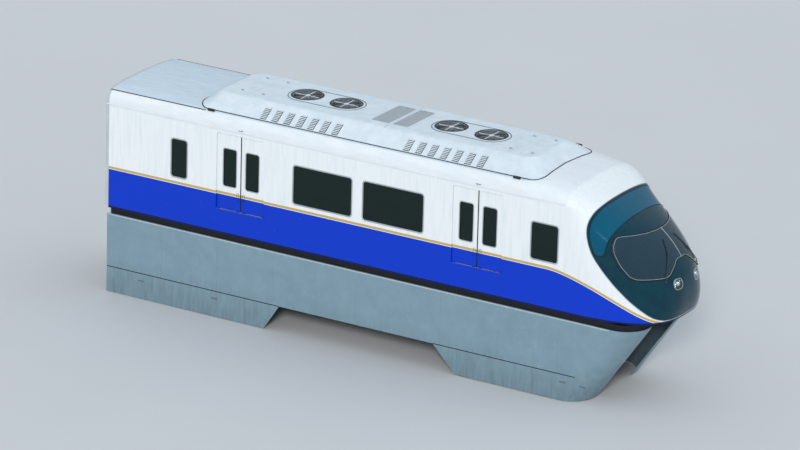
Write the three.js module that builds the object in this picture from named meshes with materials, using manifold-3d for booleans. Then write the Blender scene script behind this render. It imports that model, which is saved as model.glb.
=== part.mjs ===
// End car of a straddle-beam monorail train, as separate pieces at full size.
// Millimetres. +X runs to the nose, +Y to the left, +Z up.
// The origin is on the top face of the guide beam, midway between the two bogies.
import * as THREE from "three";
import { mergeVertices } from "three/addons/utils/BufferGeometryUtils.js";
import Module from "manifold-3d";

const wasm = await Module();
wasm.setup();

// Driving dimensions of the car
const REAR_X = -6800; // outer face of the rear end wall
const BOGIE_X = 4400; // each bogie's centre, before and behind the origin
const HALF_WIDTH = 1490;
const JOINT_X = REAR_X + 12000; // where the nose moulding meets the straight body
const BODY_BOTTOM = 570;
const FLOOR_TOP = 1150;
const FLOOR_BOTTOM = 1050;
const WALL_TOP = 3010; // side wall meets roof
const WALL = 100; // whole wall, skin to lining
const SKIN = 25; // each face of a door pocket
const GAP = 0.3; // touching pieces stand this far apart
const END_WALL = 80;
const CEILING_DEPTH = 75; // below the roof's skin
const PARTITION = { at: 11940, thick: 40, doorFrom: 300, doorTo: 950 }; // between saloon and cab
const RAIL_TOP = 3371.5; // top of the poles, under the ceiling
const SILL_BOTTOM = 360;
const SILL = 80;

// Windows along one side: distance of both ends from the rear end wall, in millimetres
const WINDOW_BOTTOM = 1680;
const WINDOWS = {
  rear: { from: 1790, to: 2200, top: 2570 },
  middle_rear: { from: 5050, to: 6570, top: 2570 },
  middle_front: { from: 6880, to: 8430, top: 2570 },
  front: { from: 11190, to: 11850, top: 2520 },
};
const WINDOW_CORNER = 60;
const GLASS = 12;
const GLASS_SINK = 8; // glass face behind the body side

// Doorways: two pairs of pocket leaves on each side
const DOORWAYS = { rear: 3640, front: 9820 }; // centres from the rear end wall
const DOOR_HALF = 640;
const DOOR_HEAD = 2960;
const LEAF_WIDTH = 667;
const LEAF_THICK = 34;
const LEAF_SPLIT = 3; // half the gap between two closed leaves, which slide 640 each way
const POCKET_END = 1320; // from the doorway's centre
const LEAF_WINDOW = { from: 130, to: 470, bottom: 1720, top: 2600, corner: 50 };

// Skirts
const SKIRT = 30;
const SKIRT_TOP = 430;
const SKIRT_STEP = -850; // lower edge between the bogies, and the panel joint
const SKIRT_BOTTOM = -1460;
const SKIRT_RAKE = 0.68; // how far the skirt's front leans back for each millimetre down
const SKIRT_FRONT = 13880; // front face at the top edge, from the rear end wall
const SKIRT_CORNER = 620;
const SKIRT_MOUTH = 760; // half the opening for the beam, at the front
// Deep skirt panels over the bogies: ends at the joint line and at the bottom edge
const DEEP_REAR = { from: 50, toTop: 4730, toBottom: 4330 };
const DEEP_FRONT = { fromTop: 8770, fromBottom: 9370 };

// Roof fairing over the two air-conditioning units
const FAIRING_TOP = 3700;
const FANS = [4450, 5480, 8220, 9250]; // fan centres from the rear end wall
const FAN_RADIUS = 330;
const FAN_DEPTH = 150;
const COWL = { rim: 60, height: 12 };

// Bogie, in its own frame: centre on the beam's top face
const AXLE_X = 750;
const TYRE_RADIUS = 490;
const TYRE_HALF = 140;
const TYRE_Y = 205;
const WHEEL_SIDES = 18;
const AXLE_Z = TYRE_RADIUS * Math.cos(Math.PI / WHEEL_SIDES);
const FRAME_HALF = 620; // inner face of a side beam
const GUIDE_RADIUS = 362;
const BEAM_HALF = 425;
const GUIDE_Y = BEAM_HALF + GUIDE_RADIUS + 3;
const GUIDE_SIDES = 16;
const GUIDE = { x: 1250, z: -350, half: 100 };
const STABILIZER = { x: 0, z: -1100, half: 95 };

// The roof's line on the left half, as half width and height: along the straight body, and
// at the joint with the nose. The roof narrows between TAPER_X and the joint.
const TAPER_X = REAR_X + 10900;
const ROOF_LINE = [[1490, 3010], [1490, 3120], [1455, 3250], [1370, 3350], [1220, 3405], [820, 3447], [0, 3470]];
const JOINT_LINE = [[1490, 3010], [1470, 3080], [1400, 3170], [1290, 3240], [1130, 3295], [760, 3355], [0, 3385]];

// Levels of the nose, bottom to top: the half width and height at the body joint, where the
// same level crosses the middle of the nose (from the rear end wall, and height), and how
// blunt it is in plan, where 2 is an ellipse and more is squarer
const LEVELS = [
  { half: 1490, side: 570, reach: 14270, front: 570, blunt: 3 },
  { half: 1490, side: 800, reach: 14330, front: 800, blunt: 2.9 },
  { half: 1490, side: 1060, reach: 14350, front: 1060, blunt: 2.75 },
  { half: 1490, side: 1360, reach: 14330, front: 1360, blunt: 2.5 },
  { half: 1490, side: 1690, reach: 14220, front: 1690, blunt: 2.3 },
  { half: 1490, side: 2030, reach: 14000, front: 2040, blunt: 2.15 },
  { half: 1490, side: 2370, reach: 13680, front: 2360, blunt: 2.05 },
  { half: 1490, side: 2700, reach: 13270, front: 2640, blunt: 2 },
  { half: 1490, side: 3010, reach: 12900, front: 2860, blunt: 2 },
  { half: 1470, side: 3080, reach: 12780, front: 2940, blunt: 2 },
  { half: 1400, side: 3170, reach: 12620, front: 3040, blunt: 2 },
  { half: 1290, side: 3240, reach: 12460, front: 3130, blunt: 2 },
  { half: 1130, side: 3295, reach: 12320, front: 3210, blunt: 2 },
  { half: 760, side: 3355, reach: 12140, front: 3320, blunt: 2 },
  { half: 0, side: 3385, reach: 12000, front: 3385, blunt: 2 },
];
const NOSE_STEPS = 28;
const NOSE_WALL = 50;
const NOSE_PEAK_NORMAL = [0.42, 0, 0.91]; // which way the skin faces at the levels' last point

// Edge of the dark mask in side view: from the rear end wall, and height
const MASK_EDGE = [
  [14900, 625], [14200, 625], [14030, 720], [13830, 890], [13530, 1130], [13200, 1420], [12930, 1700],
  [12690, 1990], [12570, 2240], [12500, 2500], [12500, 2710], [12550, 2900], [12600, 3050],
  [12620, 3700], [14900, 3700],
];
const PANE_GAP = 0.6;
// The blue glass that wraps over the roof behind the windscreen, in side view
const VISOR = {
  rear: [[12680, 3600], [12660, 3050], [12610, 2900], [12560, 2710], [12560, 2500], [12630, 2240], [12745, 2030]],
  front: [[12930, 2030], [12950, 2330], [13030, 2550], [13090, 2680], [13120, 2800], [13120, 3600]],
  bottom: 2030,
};
// Windscreen, seen from the front: half width and height
const SCREEN_EDGE = [
  [0, 1880], [180, 1880], [620, 1560], [1205, 1560], [1270, 1860], [1268, 2150], [1220, 2300], [1120, 2450], [0, 2450],
];
const SCREEN_MIDDLE = [600, 2150];
const LAMP = { y: 400, z: 1400, halfWidth: 130, halfHeight: 110, corner: 90 };

const station = (fromRear) => REAR_X + fromRear;
const mirror = (side, value) => (side === "left" ? value : -value);

const PAINT = {
  white: { color: 0xeceef0, roughness: 0.3, metalness: 0.05 },
  grey: { color: 0x93a7ad, roughness: 0.45, metalness: 0.05 },
  dark: { color: 0x15181c, roughness: 0.2, metalness: 0.0 },
  glass: { color: 0x0e2a30, roughness: 0.05, metalness: 0.0 },
  visor: { color: 0x1c6f8c, roughness: 0.05, metalness: 0.0 },
  lamp: { color: 0xdfe8ee, roughness: 0.1, metalness: 0.1 },
  steel: { color: 0x4a4e52, roughness: 0.55, metalness: 0.6 },
  rubber: { color: 0x1b1b1b, roughness: 0.9, metalness: 0.0 },
  fabric: { color: 0x2b4f86, roughness: 0.95, metalness: 0.0 },
  rail: { color: 0xc6c9cc, roughness: 0.25, metalness: 0.9 },
};

const group = new THREE.Group();

// A closed solid for joining and cutting, from a geometry
function solid(geometry) {
  const plain = geometry.index ? geometry.toNonIndexed() : geometry.clone();
  for (const name of Object.keys(plain.attributes)) {
    if (name !== "position") plain.deleteAttribute(name);
  }
  const merged = mergeVertices(plain, 1e-3);
  return new wasm.Manifold(
    new wasm.Mesh({
      numProp: 3,
      vertProperties: merged.attributes.position.array,
      triVerts: new Uint32Array(merged.index.array),
    }),
  );
}

function geometryOf(manifold) {
  const mesh = manifold.getMesh();
  return new THREE.BufferGeometry()
    .setAttribute("position", new THREE.BufferAttribute(mesh.vertProperties, 3))
    .setIndex(new THREE.BufferAttribute(mesh.triVerts, 1));
}

function add(name, shape, paint, parent = group) {
  const geometry = shape.isBufferGeometry ? shape : geometryOf(shape);
  const mesh = new THREE.Mesh(geometry, new THREE.MeshStandardMaterial(PAINT[paint]));
  mesh.name = name;
  parent.add(mesh);
  return mesh;
}

const union = (...shapes) => shapes.reduce((all, shape) => all.add(shape));

function box(x0, x1, y0, y1, z0, z1) {
  const geometry = new THREE.BoxGeometry(x1 - x0, y1 - y0, z1 - z0);
  return solid(geometry.translate((x0 + x1) / 2, (y0 + y1) / 2, (z0 + z1) / 2));
}

function extrude(shape, depth, curveSegments = 2) {
  return new THREE.ExtrudeGeometry(shape, { depth, bevelEnabled: false, curveSegments });
}

// A shape drawn in side view (x, z), as a plate from y0 to y1
function sidePlate(shape, y0, y1) {
  return solid(extrude(shape, y1 - y0).rotateX(Math.PI / 2).translate(0, y1, 0));
}

// A shape drawn in end view (y, z), from x0 to x1
function endPlate(shape, x0, x1) {
  const turn = new THREE.Matrix4().makeBasis(
    new THREE.Vector3(0, 1, 0),
    new THREE.Vector3(0, 0, 1),
    new THREE.Vector3(1, 0, 0),
  );
  return solid(extrude(shape, x1 - x0).applyMatrix4(turn).translate(x0, 0, 0));
}

// A shape drawn in plan (x, y), from z0 to z1
function planPlate(shape, z0, z1) {
  return solid(extrude(shape, z1 - z0).translate(0, 0, z0));
}

const outline = (points) => new THREE.Shape(points.map(([a, b]) => new THREE.Vector2(a, b)));

function roundedRect(x0, x1, z0, z1, r, Kind = THREE.Shape) {
  const path = new Kind();
  path.moveTo(x0 + r, z0);
  path.lineTo(x1 - r, z0);
  path.absarc(x1 - r, z0 + r, r, -Math.PI / 2, 0);
  path.absarc(x1 - r, z1 - r, r, 0, Math.PI / 2);
  path.absarc(x0 + r, z1 - r, r, Math.PI / 2, Math.PI);
  path.absarc(x0 + r, z0 + r, r, Math.PI, Math.PI * 1.5);
  return path;
}

// A round bar along an axis
function bar(axis, radius, from, to, a, b, sides = 16) {
  const geometry = new THREE.CylinderGeometry(radius, radius, to - from, sides);
  const middle = (from + to) / 2;
  if (axis === "x") return solid(geometry.rotateZ(Math.PI / 2).translate(middle, a, b));
  if (axis === "y") return solid(geometry.translate(a, middle, b));
  return solid(geometry.rotateX(Math.PI / 2).translate(a, b, middle));
}

// Underframe: floor, side sills, end beams, cross members and the wedge under the nose
function underframe() {
  const half = HALF_WIDTH - WALL - GAP;
  const floorEnd = station(12900);
  const start = REAR_X + END_WALL + GAP;
  const plan = outline([
    [start, -half], [floorEnd, -half], [station(13780), -900],
    [station(13780), 900], [floorEnd, half], [start, half],
  ]);
  const wedge = outline([
    [station(12700), -1300], [station(13300), -1230], [station(13850), -820],
    [station(13850), 820], [station(13300), 1230], [station(12700), 1300],
  ]);
  const parts = [planPlate(plan, FLOOR_BOTTOM, FLOOR_TOP), planPlate(wedge, 700, FLOOR_BOTTOM + 10)];
  for (const side of [-1, 1]) {
    const inner = side * (half - SILL);
    const outer = side * half;
    parts.push(box(start, floorEnd, Math.min(inner, outer), Math.max(inner, outer), SILL_BOTTOM, FLOOR_BOTTOM + 10));
  }
  for (const at of [250, 4350, 5650, 6950, 8250, 9150]) {
    parts.push(box(station(at) - 60, station(at) + 60, -half + 10, half - 10, 880, FLOOR_BOTTOM + 10));
  }
  for (const side of [-1, 1]) {
    const y = side * 560;
    parts.push(box(station(4900), station(8800), y - 330, y + 330, 480, FLOOR_BOTTOM + 10));
  }
  parts.push(box(start, station(330), -320, 320, 560, FLOOR_BOTTOM + 10));
  return union(...parts);
}

// A whole section of the body from its left half's line
function across(line, bottom) {
  const half = line[0][0];
  const right = line.slice(0, -1).map(([y, z]) => [-y, z]).reverse();
  return [[half, bottom], ...line, ...right, [-half, bottom]];
}

// The line of the ceiling below a line of the roof
const ceilingLine = (line) =>
  line.map(([y, z]) => [
    y === 0 ? 0 : Math.min(y - CEILING_DEPTH - 10, HALF_WIDTH - WALL),
    Math.max(z - CEILING_DEPTH, WALL_TOP + GAP),
  ]);

// A solid with the roof's line from one place to another, narrowing ahead of TAPER_X
function roofBlock(change, from, to, bottom) {
  const ring = (line, x) => across(change(line), bottom).map(([y, z]) => new THREE.Vector3(x, y, z));
  const rings = [ring(ROOF_LINE, from), ring(ROOF_LINE, TAPER_X), ring(JOINT_LINE, JOINT_X)];
  if (to > JOINT_X) rings.push(ring(JOINT_LINE, to));
  return loft(rings);
}

function roof() {
  const start = REAR_X + END_WALL + GAP;
  const skin = roofBlock((line) => line, start, JOINT_X, WALL_TOP - 90);
  const inside = roofBlock(ceilingLine, start - 100, JOINT_X + 100, WALL_TOP - 200);
  const under = box(start - 100, JOINT_X + 100, -HALF_WIDTH - 50, HALF_WIDTH + 50, WALL_TOP - 300, WALL_TOP + GAP);
  const ahead = box(JOINT_X - GAP, JOINT_X + 200, -HALF_WIDTH - 50, HALF_WIDTH + 50, WALL_TOP - 300, 3600);
  return skin.subtract(inside).subtract(under).subtract(ahead);
}

function rearEndWall() {
  const wall = endPlate(outline(across(ROOF_LINE, BODY_BOTTOM)), REAR_X, REAR_X + END_WALL);
  const doorway = roundedRect(-430, 430, FLOOR_TOP, 3050, 60);
  const notch = box(REAR_X - 10, REAR_X + END_WALL + 10, -180, 180, BODY_BOTTOM - 10, 900);
  return wall.subtract(endPlate(doorway, REAR_X - 10, REAR_X + END_WALL + 10)).subtract(notch);
}

// A side wall with its windows, doorways and the pockets that the leaves slide into
function sideWall(side) {
  const outer = HALF_WIDTH;
  const inner = HALF_WIDTH - WALL;
  const shape = outline([
    [REAR_X + END_WALL + GAP, BODY_BOTTOM], [JOINT_X - GAP, BODY_BOTTOM],
    [JOINT_X - GAP, WALL_TOP], [REAR_X + END_WALL + GAP, WALL_TOP],
  ]);
  for (const { from, to, top } of Object.values(WINDOWS)) {
    shape.holes.push(roundedRect(station(from), station(to), WINDOW_BOTTOM, top, WINDOW_CORNER, THREE.Path));
  }
  for (const centre of Object.values(DOORWAYS)) {
    const x = station(centre);
    shape.holes.push(roundedRect(x - DOOR_HALF, x + DOOR_HALF, FLOOR_TOP, DOOR_HEAD, 40, THREE.Path));
  }
  let wall = sidePlate(shape, Math.min(mirror(side, inner), mirror(side, outer)), Math.max(mirror(side, inner), mirror(side, outer)));
  for (const centre of Object.values(DOORWAYS)) {
    const x = station(centre);
    const a = mirror(side, inner + SKIN);
    const b = mirror(side, outer - SKIN);
    wall = wall.subtract(
      box(x - POCKET_END, x + POCKET_END, Math.min(a, b), Math.max(a, b), FLOOR_TOP - 10, DOOR_HEAD + 25),
    );
  }
  return wall;
}

// Window glass lies in its opening, just behind the body side
function windowGlass(side, { from, to, top }) {
  const shape = roundedRect(
    station(from) + GAP, station(to) - GAP, WINDOW_BOTTOM + GAP, top - GAP, WINDOW_CORNER,
  );
  const a = mirror(side, HALF_WIDTH - GLASS_SINK);
  const b = mirror(side, HALF_WIDTH - GLASS_SINK - GLASS);
  return sidePlate(shape, Math.min(a, b), Math.max(a, b));
}

// One door leaf. Its window is cut, and two shoes under it run in the pocket's floor.
function doorLeaf(side, centre, way) {
  const x = station(centre);
  const near = x + way * LEAF_SPLIT;
  const far = x + way * (LEAF_SPLIT + LEAF_WIDTH);
  const bottom = FLOOR_TOP + 12;
  const top = DOOR_HEAD + 10;
  const shape = outline([
    [Math.min(near, far), bottom], [Math.max(near, far), bottom],
    [Math.max(near, far), top], [Math.min(near, far), top],
  ]);
  const w = LEAF_WINDOW;
  const from = x + way * w.from;
  const to = x + way * w.to;
  shape.holes.push(
    roundedRect(Math.min(from, to), Math.max(from, to), w.bottom, w.top, w.corner, THREE.Path),
  );
  const middle = HALF_WIDTH - WALL / 2;
  const y = mirror(side, middle);
  const leaf = sidePlate(shape, y - LEAF_THICK / 2, y + LEAF_THICK / 2);
  const shoes = [80, LEAF_WIDTH - 80].map((at) =>
    box(
      x + way * (LEAF_SPLIT + at) - 40, x + way * (LEAF_SPLIT + at) + 40,
      y - 10, y + 10, FLOOR_TOP - 10 + 2 * GAP, bottom + 5,
    ),
  );
  return union(leaf, ...shoes);
}

// A point of the nose at one level, with t from 0 on the left joint edge to 1 on the right
function nosePoint(level, t) {
  const angle = Math.PI * t;
  const ahead = Math.pow(Math.sin(angle), 2 / level.blunt);
  const sideways = Math.sign(Math.cos(angle)) * Math.pow(Math.abs(Math.cos(angle)), 2 / level.blunt);
  return new THREE.Vector3(
    JOINT_X + (station(level.reach) - JOINT_X) * ahead,
    level.half * sideways,
    level.side + (level.front - level.side) * ahead,
  );
}

// The nose as a closed solid whose skin lies inside the real one by inset.
// A skin with an inset runs on behind the joint and below the body, to cut a shell open there.
function noseSolid(inset) {
  const rows = LEVELS.map((level) => {
    const row = [];
    for (let i = 0; i <= NOSE_STEPS; i++) row.push(nosePoint(level, i / NOSE_STEPS));
    return row;
  });
  const normalAt = (k, i) => {
    const alongA = rows[k][Math.max(i - 1, 0)];
    const alongB = rows[k][Math.min(i + 1, NOSE_STEPS)];
    const upA = rows[Math.max(k - 1, 0)][i];
    const upB = rows[Math.min(k + 1, rows.length - 1)][i];
    const along = new THREE.Vector3().subVectors(alongB, alongA);
    const up = new THREE.Vector3().subVectors(upB, upA);
    if (k === rows.length - 1) return new THREE.Vector3(...NOSE_PEAK_NORMAL);
    return new THREE.Vector3().crossVectors(up, along).normalize();
  };
  let grid = rows.map((row, k) => row.map((p, i) => p.clone().addScaledVector(normalAt(k, i), -inset)));
  if (inset > 0) {
    grid = grid.map((row) => {
      const behind = (p) => new THREE.Vector3(JOINT_X - 200, p.y, p.z);
      return [behind(row[0]), ...row, behind(row[row.length - 1])];
    });
    grid.unshift(grid[0].map((p) => new THREE.Vector3(p.x, p.y, BODY_BOTTOM - 200)));
  }
  const width = grid[0].length;
  const positions = grid.flat().flatMap((p) => [p.x, p.y, p.z]);
  const faces = [];
  const at = (k, i) => k * width + i;
  const quad = (a, b, c, d) => faces.push(a, b, c, a, c, d);
  for (let k = 0; k < grid.length - 1; k++) {
    for (let i = 0; i < width - 1; i++) quad(at(k, i), at(k + 1, i), at(k + 1, i + 1), at(k, i + 1));
    quad(at(k, 0), at(k, width - 1), at(k + 1, width - 1), at(k + 1, 0));
  }
  for (let i = 0; i < (width - 1) / 2; i++) {
    quad(at(0, i), at(0, i + 1), at(0, width - 2 - i), at(0, width - 1 - i));
  }
  const top = grid.length - 1;
  if (inset > 0) {
    for (let i = 0; i < (width - 1) / 2; i++) {
      quad(at(top, width - 1 - i), at(top, width - 2 - i), at(top, i + 1), at(top, i));
    }
  }
  const geometry = new THREE.BufferGeometry()
    .setAttribute("position", new THREE.BufferAttribute(new Float32Array(positions), 3))
    .setIndex(faces);
  return solid(geometry);
}

function noseShell(thickness) {
  return noseSolid(0).subtract(noseSolid(thickness));
}

const FAR_Y = 1700; // beyond both sides of the car

// Everything ahead of the mask's edge, with the edge moved back by grow
const maskRegion = (grow) =>
  sidePlate(outline(MASK_EDGE.map(([x, z]) => [station(x) - grow, z < 2500 ? z - grow : z])), -FAR_Y, FAR_Y);

// The band of the blue glass, with its edges moved in by gap
function visorRegion(gap) {
  const rear = VISOR.rear.map(([x, z]) => [station(x) + gap, Math.max(z, VISOR.bottom + gap)]);
  const front = VISOR.front.map(([x, z]) => [station(x) - gap, Math.max(z, VISOR.bottom + gap)]);
  return sidePlate(outline([...rear, ...front]), -FAR_Y, FAR_Y);
}

// The windscreen's outline from the front, with each point moved in by gap
function screenPlate(gap) {
  const [y0, z0] = SCREEN_MIDDLE;
  const points = SCREEN_EDGE.map(([y, z]) => {
    const move = gap / Math.hypot(y0 - y, z0 - z);
    return [y === 0 ? 0 : y + (y0 - y) * move, z + (z0 - z) * move];
  });
  const other = points.filter(([y]) => y > 0).map(([y, z]) => [-y, z]).reverse();
  return endPlate(outline([...points, ...other]), station(12400), station(14900));
}

function lampPlate(side, grow) {
  const y = mirror(side, LAMP.y);
  const shape = roundedRect(
    y - LAMP.halfWidth - grow, y + LAMP.halfWidth + grow,
    LAMP.z - LAMP.halfHeight - grow, LAMP.z + LAMP.halfHeight + grow, LAMP.corner,
  );
  return endPlate(shape, station(13400), station(14900));
}

function skirtCornerPlan(outerHalf, thick) {
  const front = station(SKIRT_FRONT);
  const centreX = front - SKIRT_CORNER;
  const centreY = outerHalf - SKIRT_CORNER;
  const shape = new THREE.Shape();
  shape.moveTo(centreX - 60, outerHalf);
  shape.lineTo(centreX, outerHalf);
  shape.absarc(centreX, centreY, SKIRT_CORNER, Math.PI / 2, 0, true);
  shape.lineTo(front, SKIRT_MOUTH);
  shape.lineTo(front - thick, SKIRT_MOUTH);
  shape.lineTo(front - thick, centreY);
  shape.absarc(centreX, centreY, SKIRT_CORNER - thick, 0, Math.PI / 2, false);
  shape.lineTo(centreX - 60, outerHalf - thick);
  return shape;
}

// A skirt panel on the left: flat plate, with the raked front corner where it has one
function skirtPanel(points, z0, z1, withCorner) {
  const outer = HALF_WIDTH;
  const inner = HALF_WIDTH - SKIRT;
  let panel = sidePlate(outline(points), inner, outer);
  if (withCorner) {
    const corner = extrude(skirtCornerPlan(outer, SKIRT), z1 - z0, 8).translate(0, 0, z0);
    const shear = new THREE.Matrix4().set(
      1, 0, SKIRT_RAKE, -SKIRT_RAKE * SKIRT_TOP,
      0, 1, 0, 0,
      0, 0, 1, 0,
      0, 0, 0, 1,
    );
    panel = panel.add(solid(corner.applyMatrix4(shear)));
  }
  return panel;
}

const rakedX = (fromRear, z) => station(fromRear) - SKIRT_RAKE * (SKIRT_TOP - z);
const cornerStart = SKIRT_FRONT - SKIRT_CORNER;

function upperSkirt() {
  const start = station(DEEP_REAR.from);
  const points = [
    [start, SKIRT_STEP], [rakedX(cornerStart - 30, SKIRT_STEP), SKIRT_STEP],
    [rakedX(cornerStart - 30, SKIRT_TOP), SKIRT_TOP], [start, SKIRT_TOP],
  ];
  const panel = skirtPanel(points, SKIRT_STEP, SKIRT_TOP, true);
  const flange = box(
    REAR_X + 120, station(12850),
    HALF_WIDTH - WALL + GAP, HALF_WIDTH - SKIRT + 5, SILL_BOTTOM + 20, SKIRT_TOP - 5,
  );
  return panel.add(flange);
}

function lowerSkirt(where) {
  const top = SKIRT_STEP - GAP;
  const z = SKIRT_BOTTOM;
  if (where === "rear") {
    const points = [
      [station(DEEP_REAR.from), z], [station(DEEP_REAR.toBottom), z],
      [station(DEEP_REAR.toTop), top], [station(DEEP_REAR.from), top],
    ];
    return skirtPanel(points, z, top, false);
  }
  const points = [
    [station(DEEP_FRONT.fromBottom), z], [rakedX(cornerStart - 30, z), z],
    [rakedX(cornerStart - 30, top), top], [station(DEEP_FRONT.fromTop), top],
  ];
  return skirtPanel(points, z, top, true);
}

// A ring of points for one height of the roof fairing
function fairingRing(x0, x1, half, radius, z) {
  return roundedRect(station(x0), station(x1), -half, half, radius)
    .getPoints(5)
    .map((p) => new THREE.Vector3(p.x, p.y, z));
}

// A closed loft through rings that have the same number of points
function loft(rings) {
  const count = rings[0].length;
  const positions = rings.flat().flatMap((p) => [p.x, p.y, p.z]);
  const faces = [];
  for (let k = 0; k < rings.length - 1; k++) {
    for (let i = 0; i < count; i++) {
      const j = (i + 1) % count;
      const [a, b, c, d] = [k * count + i, k * count + j, (k + 1) * count + j, (k + 1) * count + i];
      faces.push(a, b, c, a, c, d);
    }
  }
  const last = (rings.length - 1) * count;
  for (let i = 1; i < count - 1; i++) {
    faces.push(0, i + 1, i);
    faces.push(last, last + i, last + i + 1);
  }
  const geometry = new THREE.BufferGeometry()
    .setAttribute("position", new THREE.BufferAttribute(new Float32Array(positions), 3))
    .setIndex(faces);
  return solid(geometry);
}

function roofFairing() {
  const rings = [
    fairingRing(2150, 11340, 1362, 430, 3150),
    fairingRing(2180, 11300, 1352, 420, 3350),
    fairingRing(2560, 10820, 880, 300, 3680),
    fairingRing(2620, 10760, 800, 260, FAIRING_TOP),
  ].map((ring) => ring.slice(0, -1));
  let fairing = loft(rings);
  for (const centre of FANS) {
    const rim = FAN_RADIUS + COWL.rim;
    fairing = fairing.add(bar("z", rim, FAIRING_TOP - 60, FAIRING_TOP + COWL.height, station(centre), 0, 28));
  }
  for (const centre of FANS) {
    const top = FAIRING_TOP + COWL.height;
    const x = station(centre);
    const guard = union(
      box(x - FAN_RADIUS - 5, x + FAN_RADIUS + 5, -12, 12, top - 18, top - 4),
      box(x - 12, x + 12, -FAN_RADIUS - 5, FAN_RADIUS + 5, top - 18, top - 4),
      bar("z", 60, top - 40, top - 2, x, 0, 12),
    );
    fairing = fairing.subtract(bar("z", FAN_RADIUS, top - FAN_DEPTH, top + 10, x, 0, 28)).add(guard);
  }
  fairing = fairing.subtract(box(station(6980), station(7030), -1500, 1500, FAIRING_TOP - 25, FAIRING_TOP + 100));
  fairing = fairing.subtract(louvres());
  const raised = (line) => line.map(([y, z]) => [y === 0 ? 0 : y + GAP, z + 0.5]);
  return fairing.subtract(roofBlock(raised, station(1900), JOINT_X, 2900));
}

// Louvre slots in the fairing's two sloping sides, beside each pair of fans
function louvres() {
  const slots = [];
  for (const [from, to] of [[3900, 6100], [7650, 9850]]) {
    const count = 7;
    for (let i = 0; i < count; i++) {
      const x = station(from + ((i + 0.5) * (to - from)) / count);
      for (const side of [-1, 1]) {
        const slot = new THREE.BoxGeometry(170, 330, 60);
        const slope = Math.atan2(350, 512);
        slot.rotateX(-side * slope).translate(x, side * 1136, 3512);
        slots.push(solid(slot));
      }
    }
  }
  return union(...slots);
}

// Half of the gangway between two cars: a folded tube round the passage
function gangwayBellows() {
  const x0 = REAR_X - 350;
  const outer = roundedRect(-800, 800, 1010, 3170, 130);
  outer.holes.push(roundedRect(-560, 560, FLOOR_TOP + 10, 3060, 90, THREE.Path));
  return endPlate(outer, x0, REAR_X - GAP);
}

function coupler() {
  const z = 735;
  const head = REAR_X - 380;
  return union(
    box(head, head + 60, -150, 150, z - 110, z + 110),
    bar("x", 65, head + 30, REAR_X + 40, 0, z),
    box(REAR_X + 10, REAR_X + END_WALL, -140, 140, z - 120, z + 120),
  );
}

// Partition behind the driver, with a doorway and a window
function cabPartition() {
  const half = HALF_WIDTH - WALL - GAP;
  const clear = 1;
  const line = ceilingLine(JOINT_LINE).map(([y, z]) => [y === 0 ? 0 : y - clear, z - clear]);
  const others = line.slice(0, -1).map(([y, z]) => [-y, z]).reverse();
  const bottom = FLOOR_TOP + GAP;
  const shape = outline([
    [-half, bottom], [PARTITION.doorFrom, bottom], [PARTITION.doorFrom, DOOR_HEAD], [PARTITION.doorTo, DOOR_HEAD],
    [PARTITION.doorTo, bottom], [half, bottom], ...line, ...others,
  ]);
  shape.holes.push(roundedRect(-1150, 150, 2000, 2850, WINDOW_CORNER, THREE.Path));
  return endPlate(shape, station(PARTITION.at), station(PARTITION.at + PARTITION.thick));
}

function driverDesk() {
  const shape = outline([
    [station(12900), FLOOR_TOP + GAP], [station(13540), FLOOR_TOP + GAP], [station(13730), 1450],
    [station(13710), 1560], [station(13340), 1800], [station(12930), 1760], [station(13000), 1700],
  ]);
  return sidePlate(shape, -720, 720);
}

function driverSeat() {
  const x = station(12500);
  return union(
    bar("z", 70, FLOOR_TOP + GAP, 1560, x, 0, 12),
    box(x - 240, x + 240, -240, 240, 1550, 1650),
    box(x - 290, x - 200, -230, 230, 1600, 2230),
  );
}

// Bench seat on the left, between the doorways
function bench() {
  const back = HALF_WIDTH - WALL - GAP;
  const shape = outline([
    [back - 60, FLOOR_TOP + GAP], [back, FLOOR_TOP + GAP], [back, 1660], [back - 70, 1660],
    [back - 90, 1600], [back - 440, 1600], [back - 450, 1500], [back - 380, 1480],
    [back - 330, FLOOR_TOP + GAP + 40], [back - 60, FLOOR_TOP + GAP + 40],
  ]);
  return endPlate(shape, station(5100), station(8360));
}

function grabRails() {
  const y = 700;
  const rail = 2900;
  const parts = [];
  for (const side of [-1, 1]) {
    parts.push(bar("x", 20, station(2500), station(11000), side * y, rail, 8));
    for (const at of [2700, 4800, 8600, 10800]) {
      parts.push(bar("z", 20, FLOOR_TOP + GAP, RAIL_TOP, station(at), side * y, 8));
    }
  }
  parts.push(bar("y", 20, -y, y, station(6750), rail, 8));
  return union(...parts);
}

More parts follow.
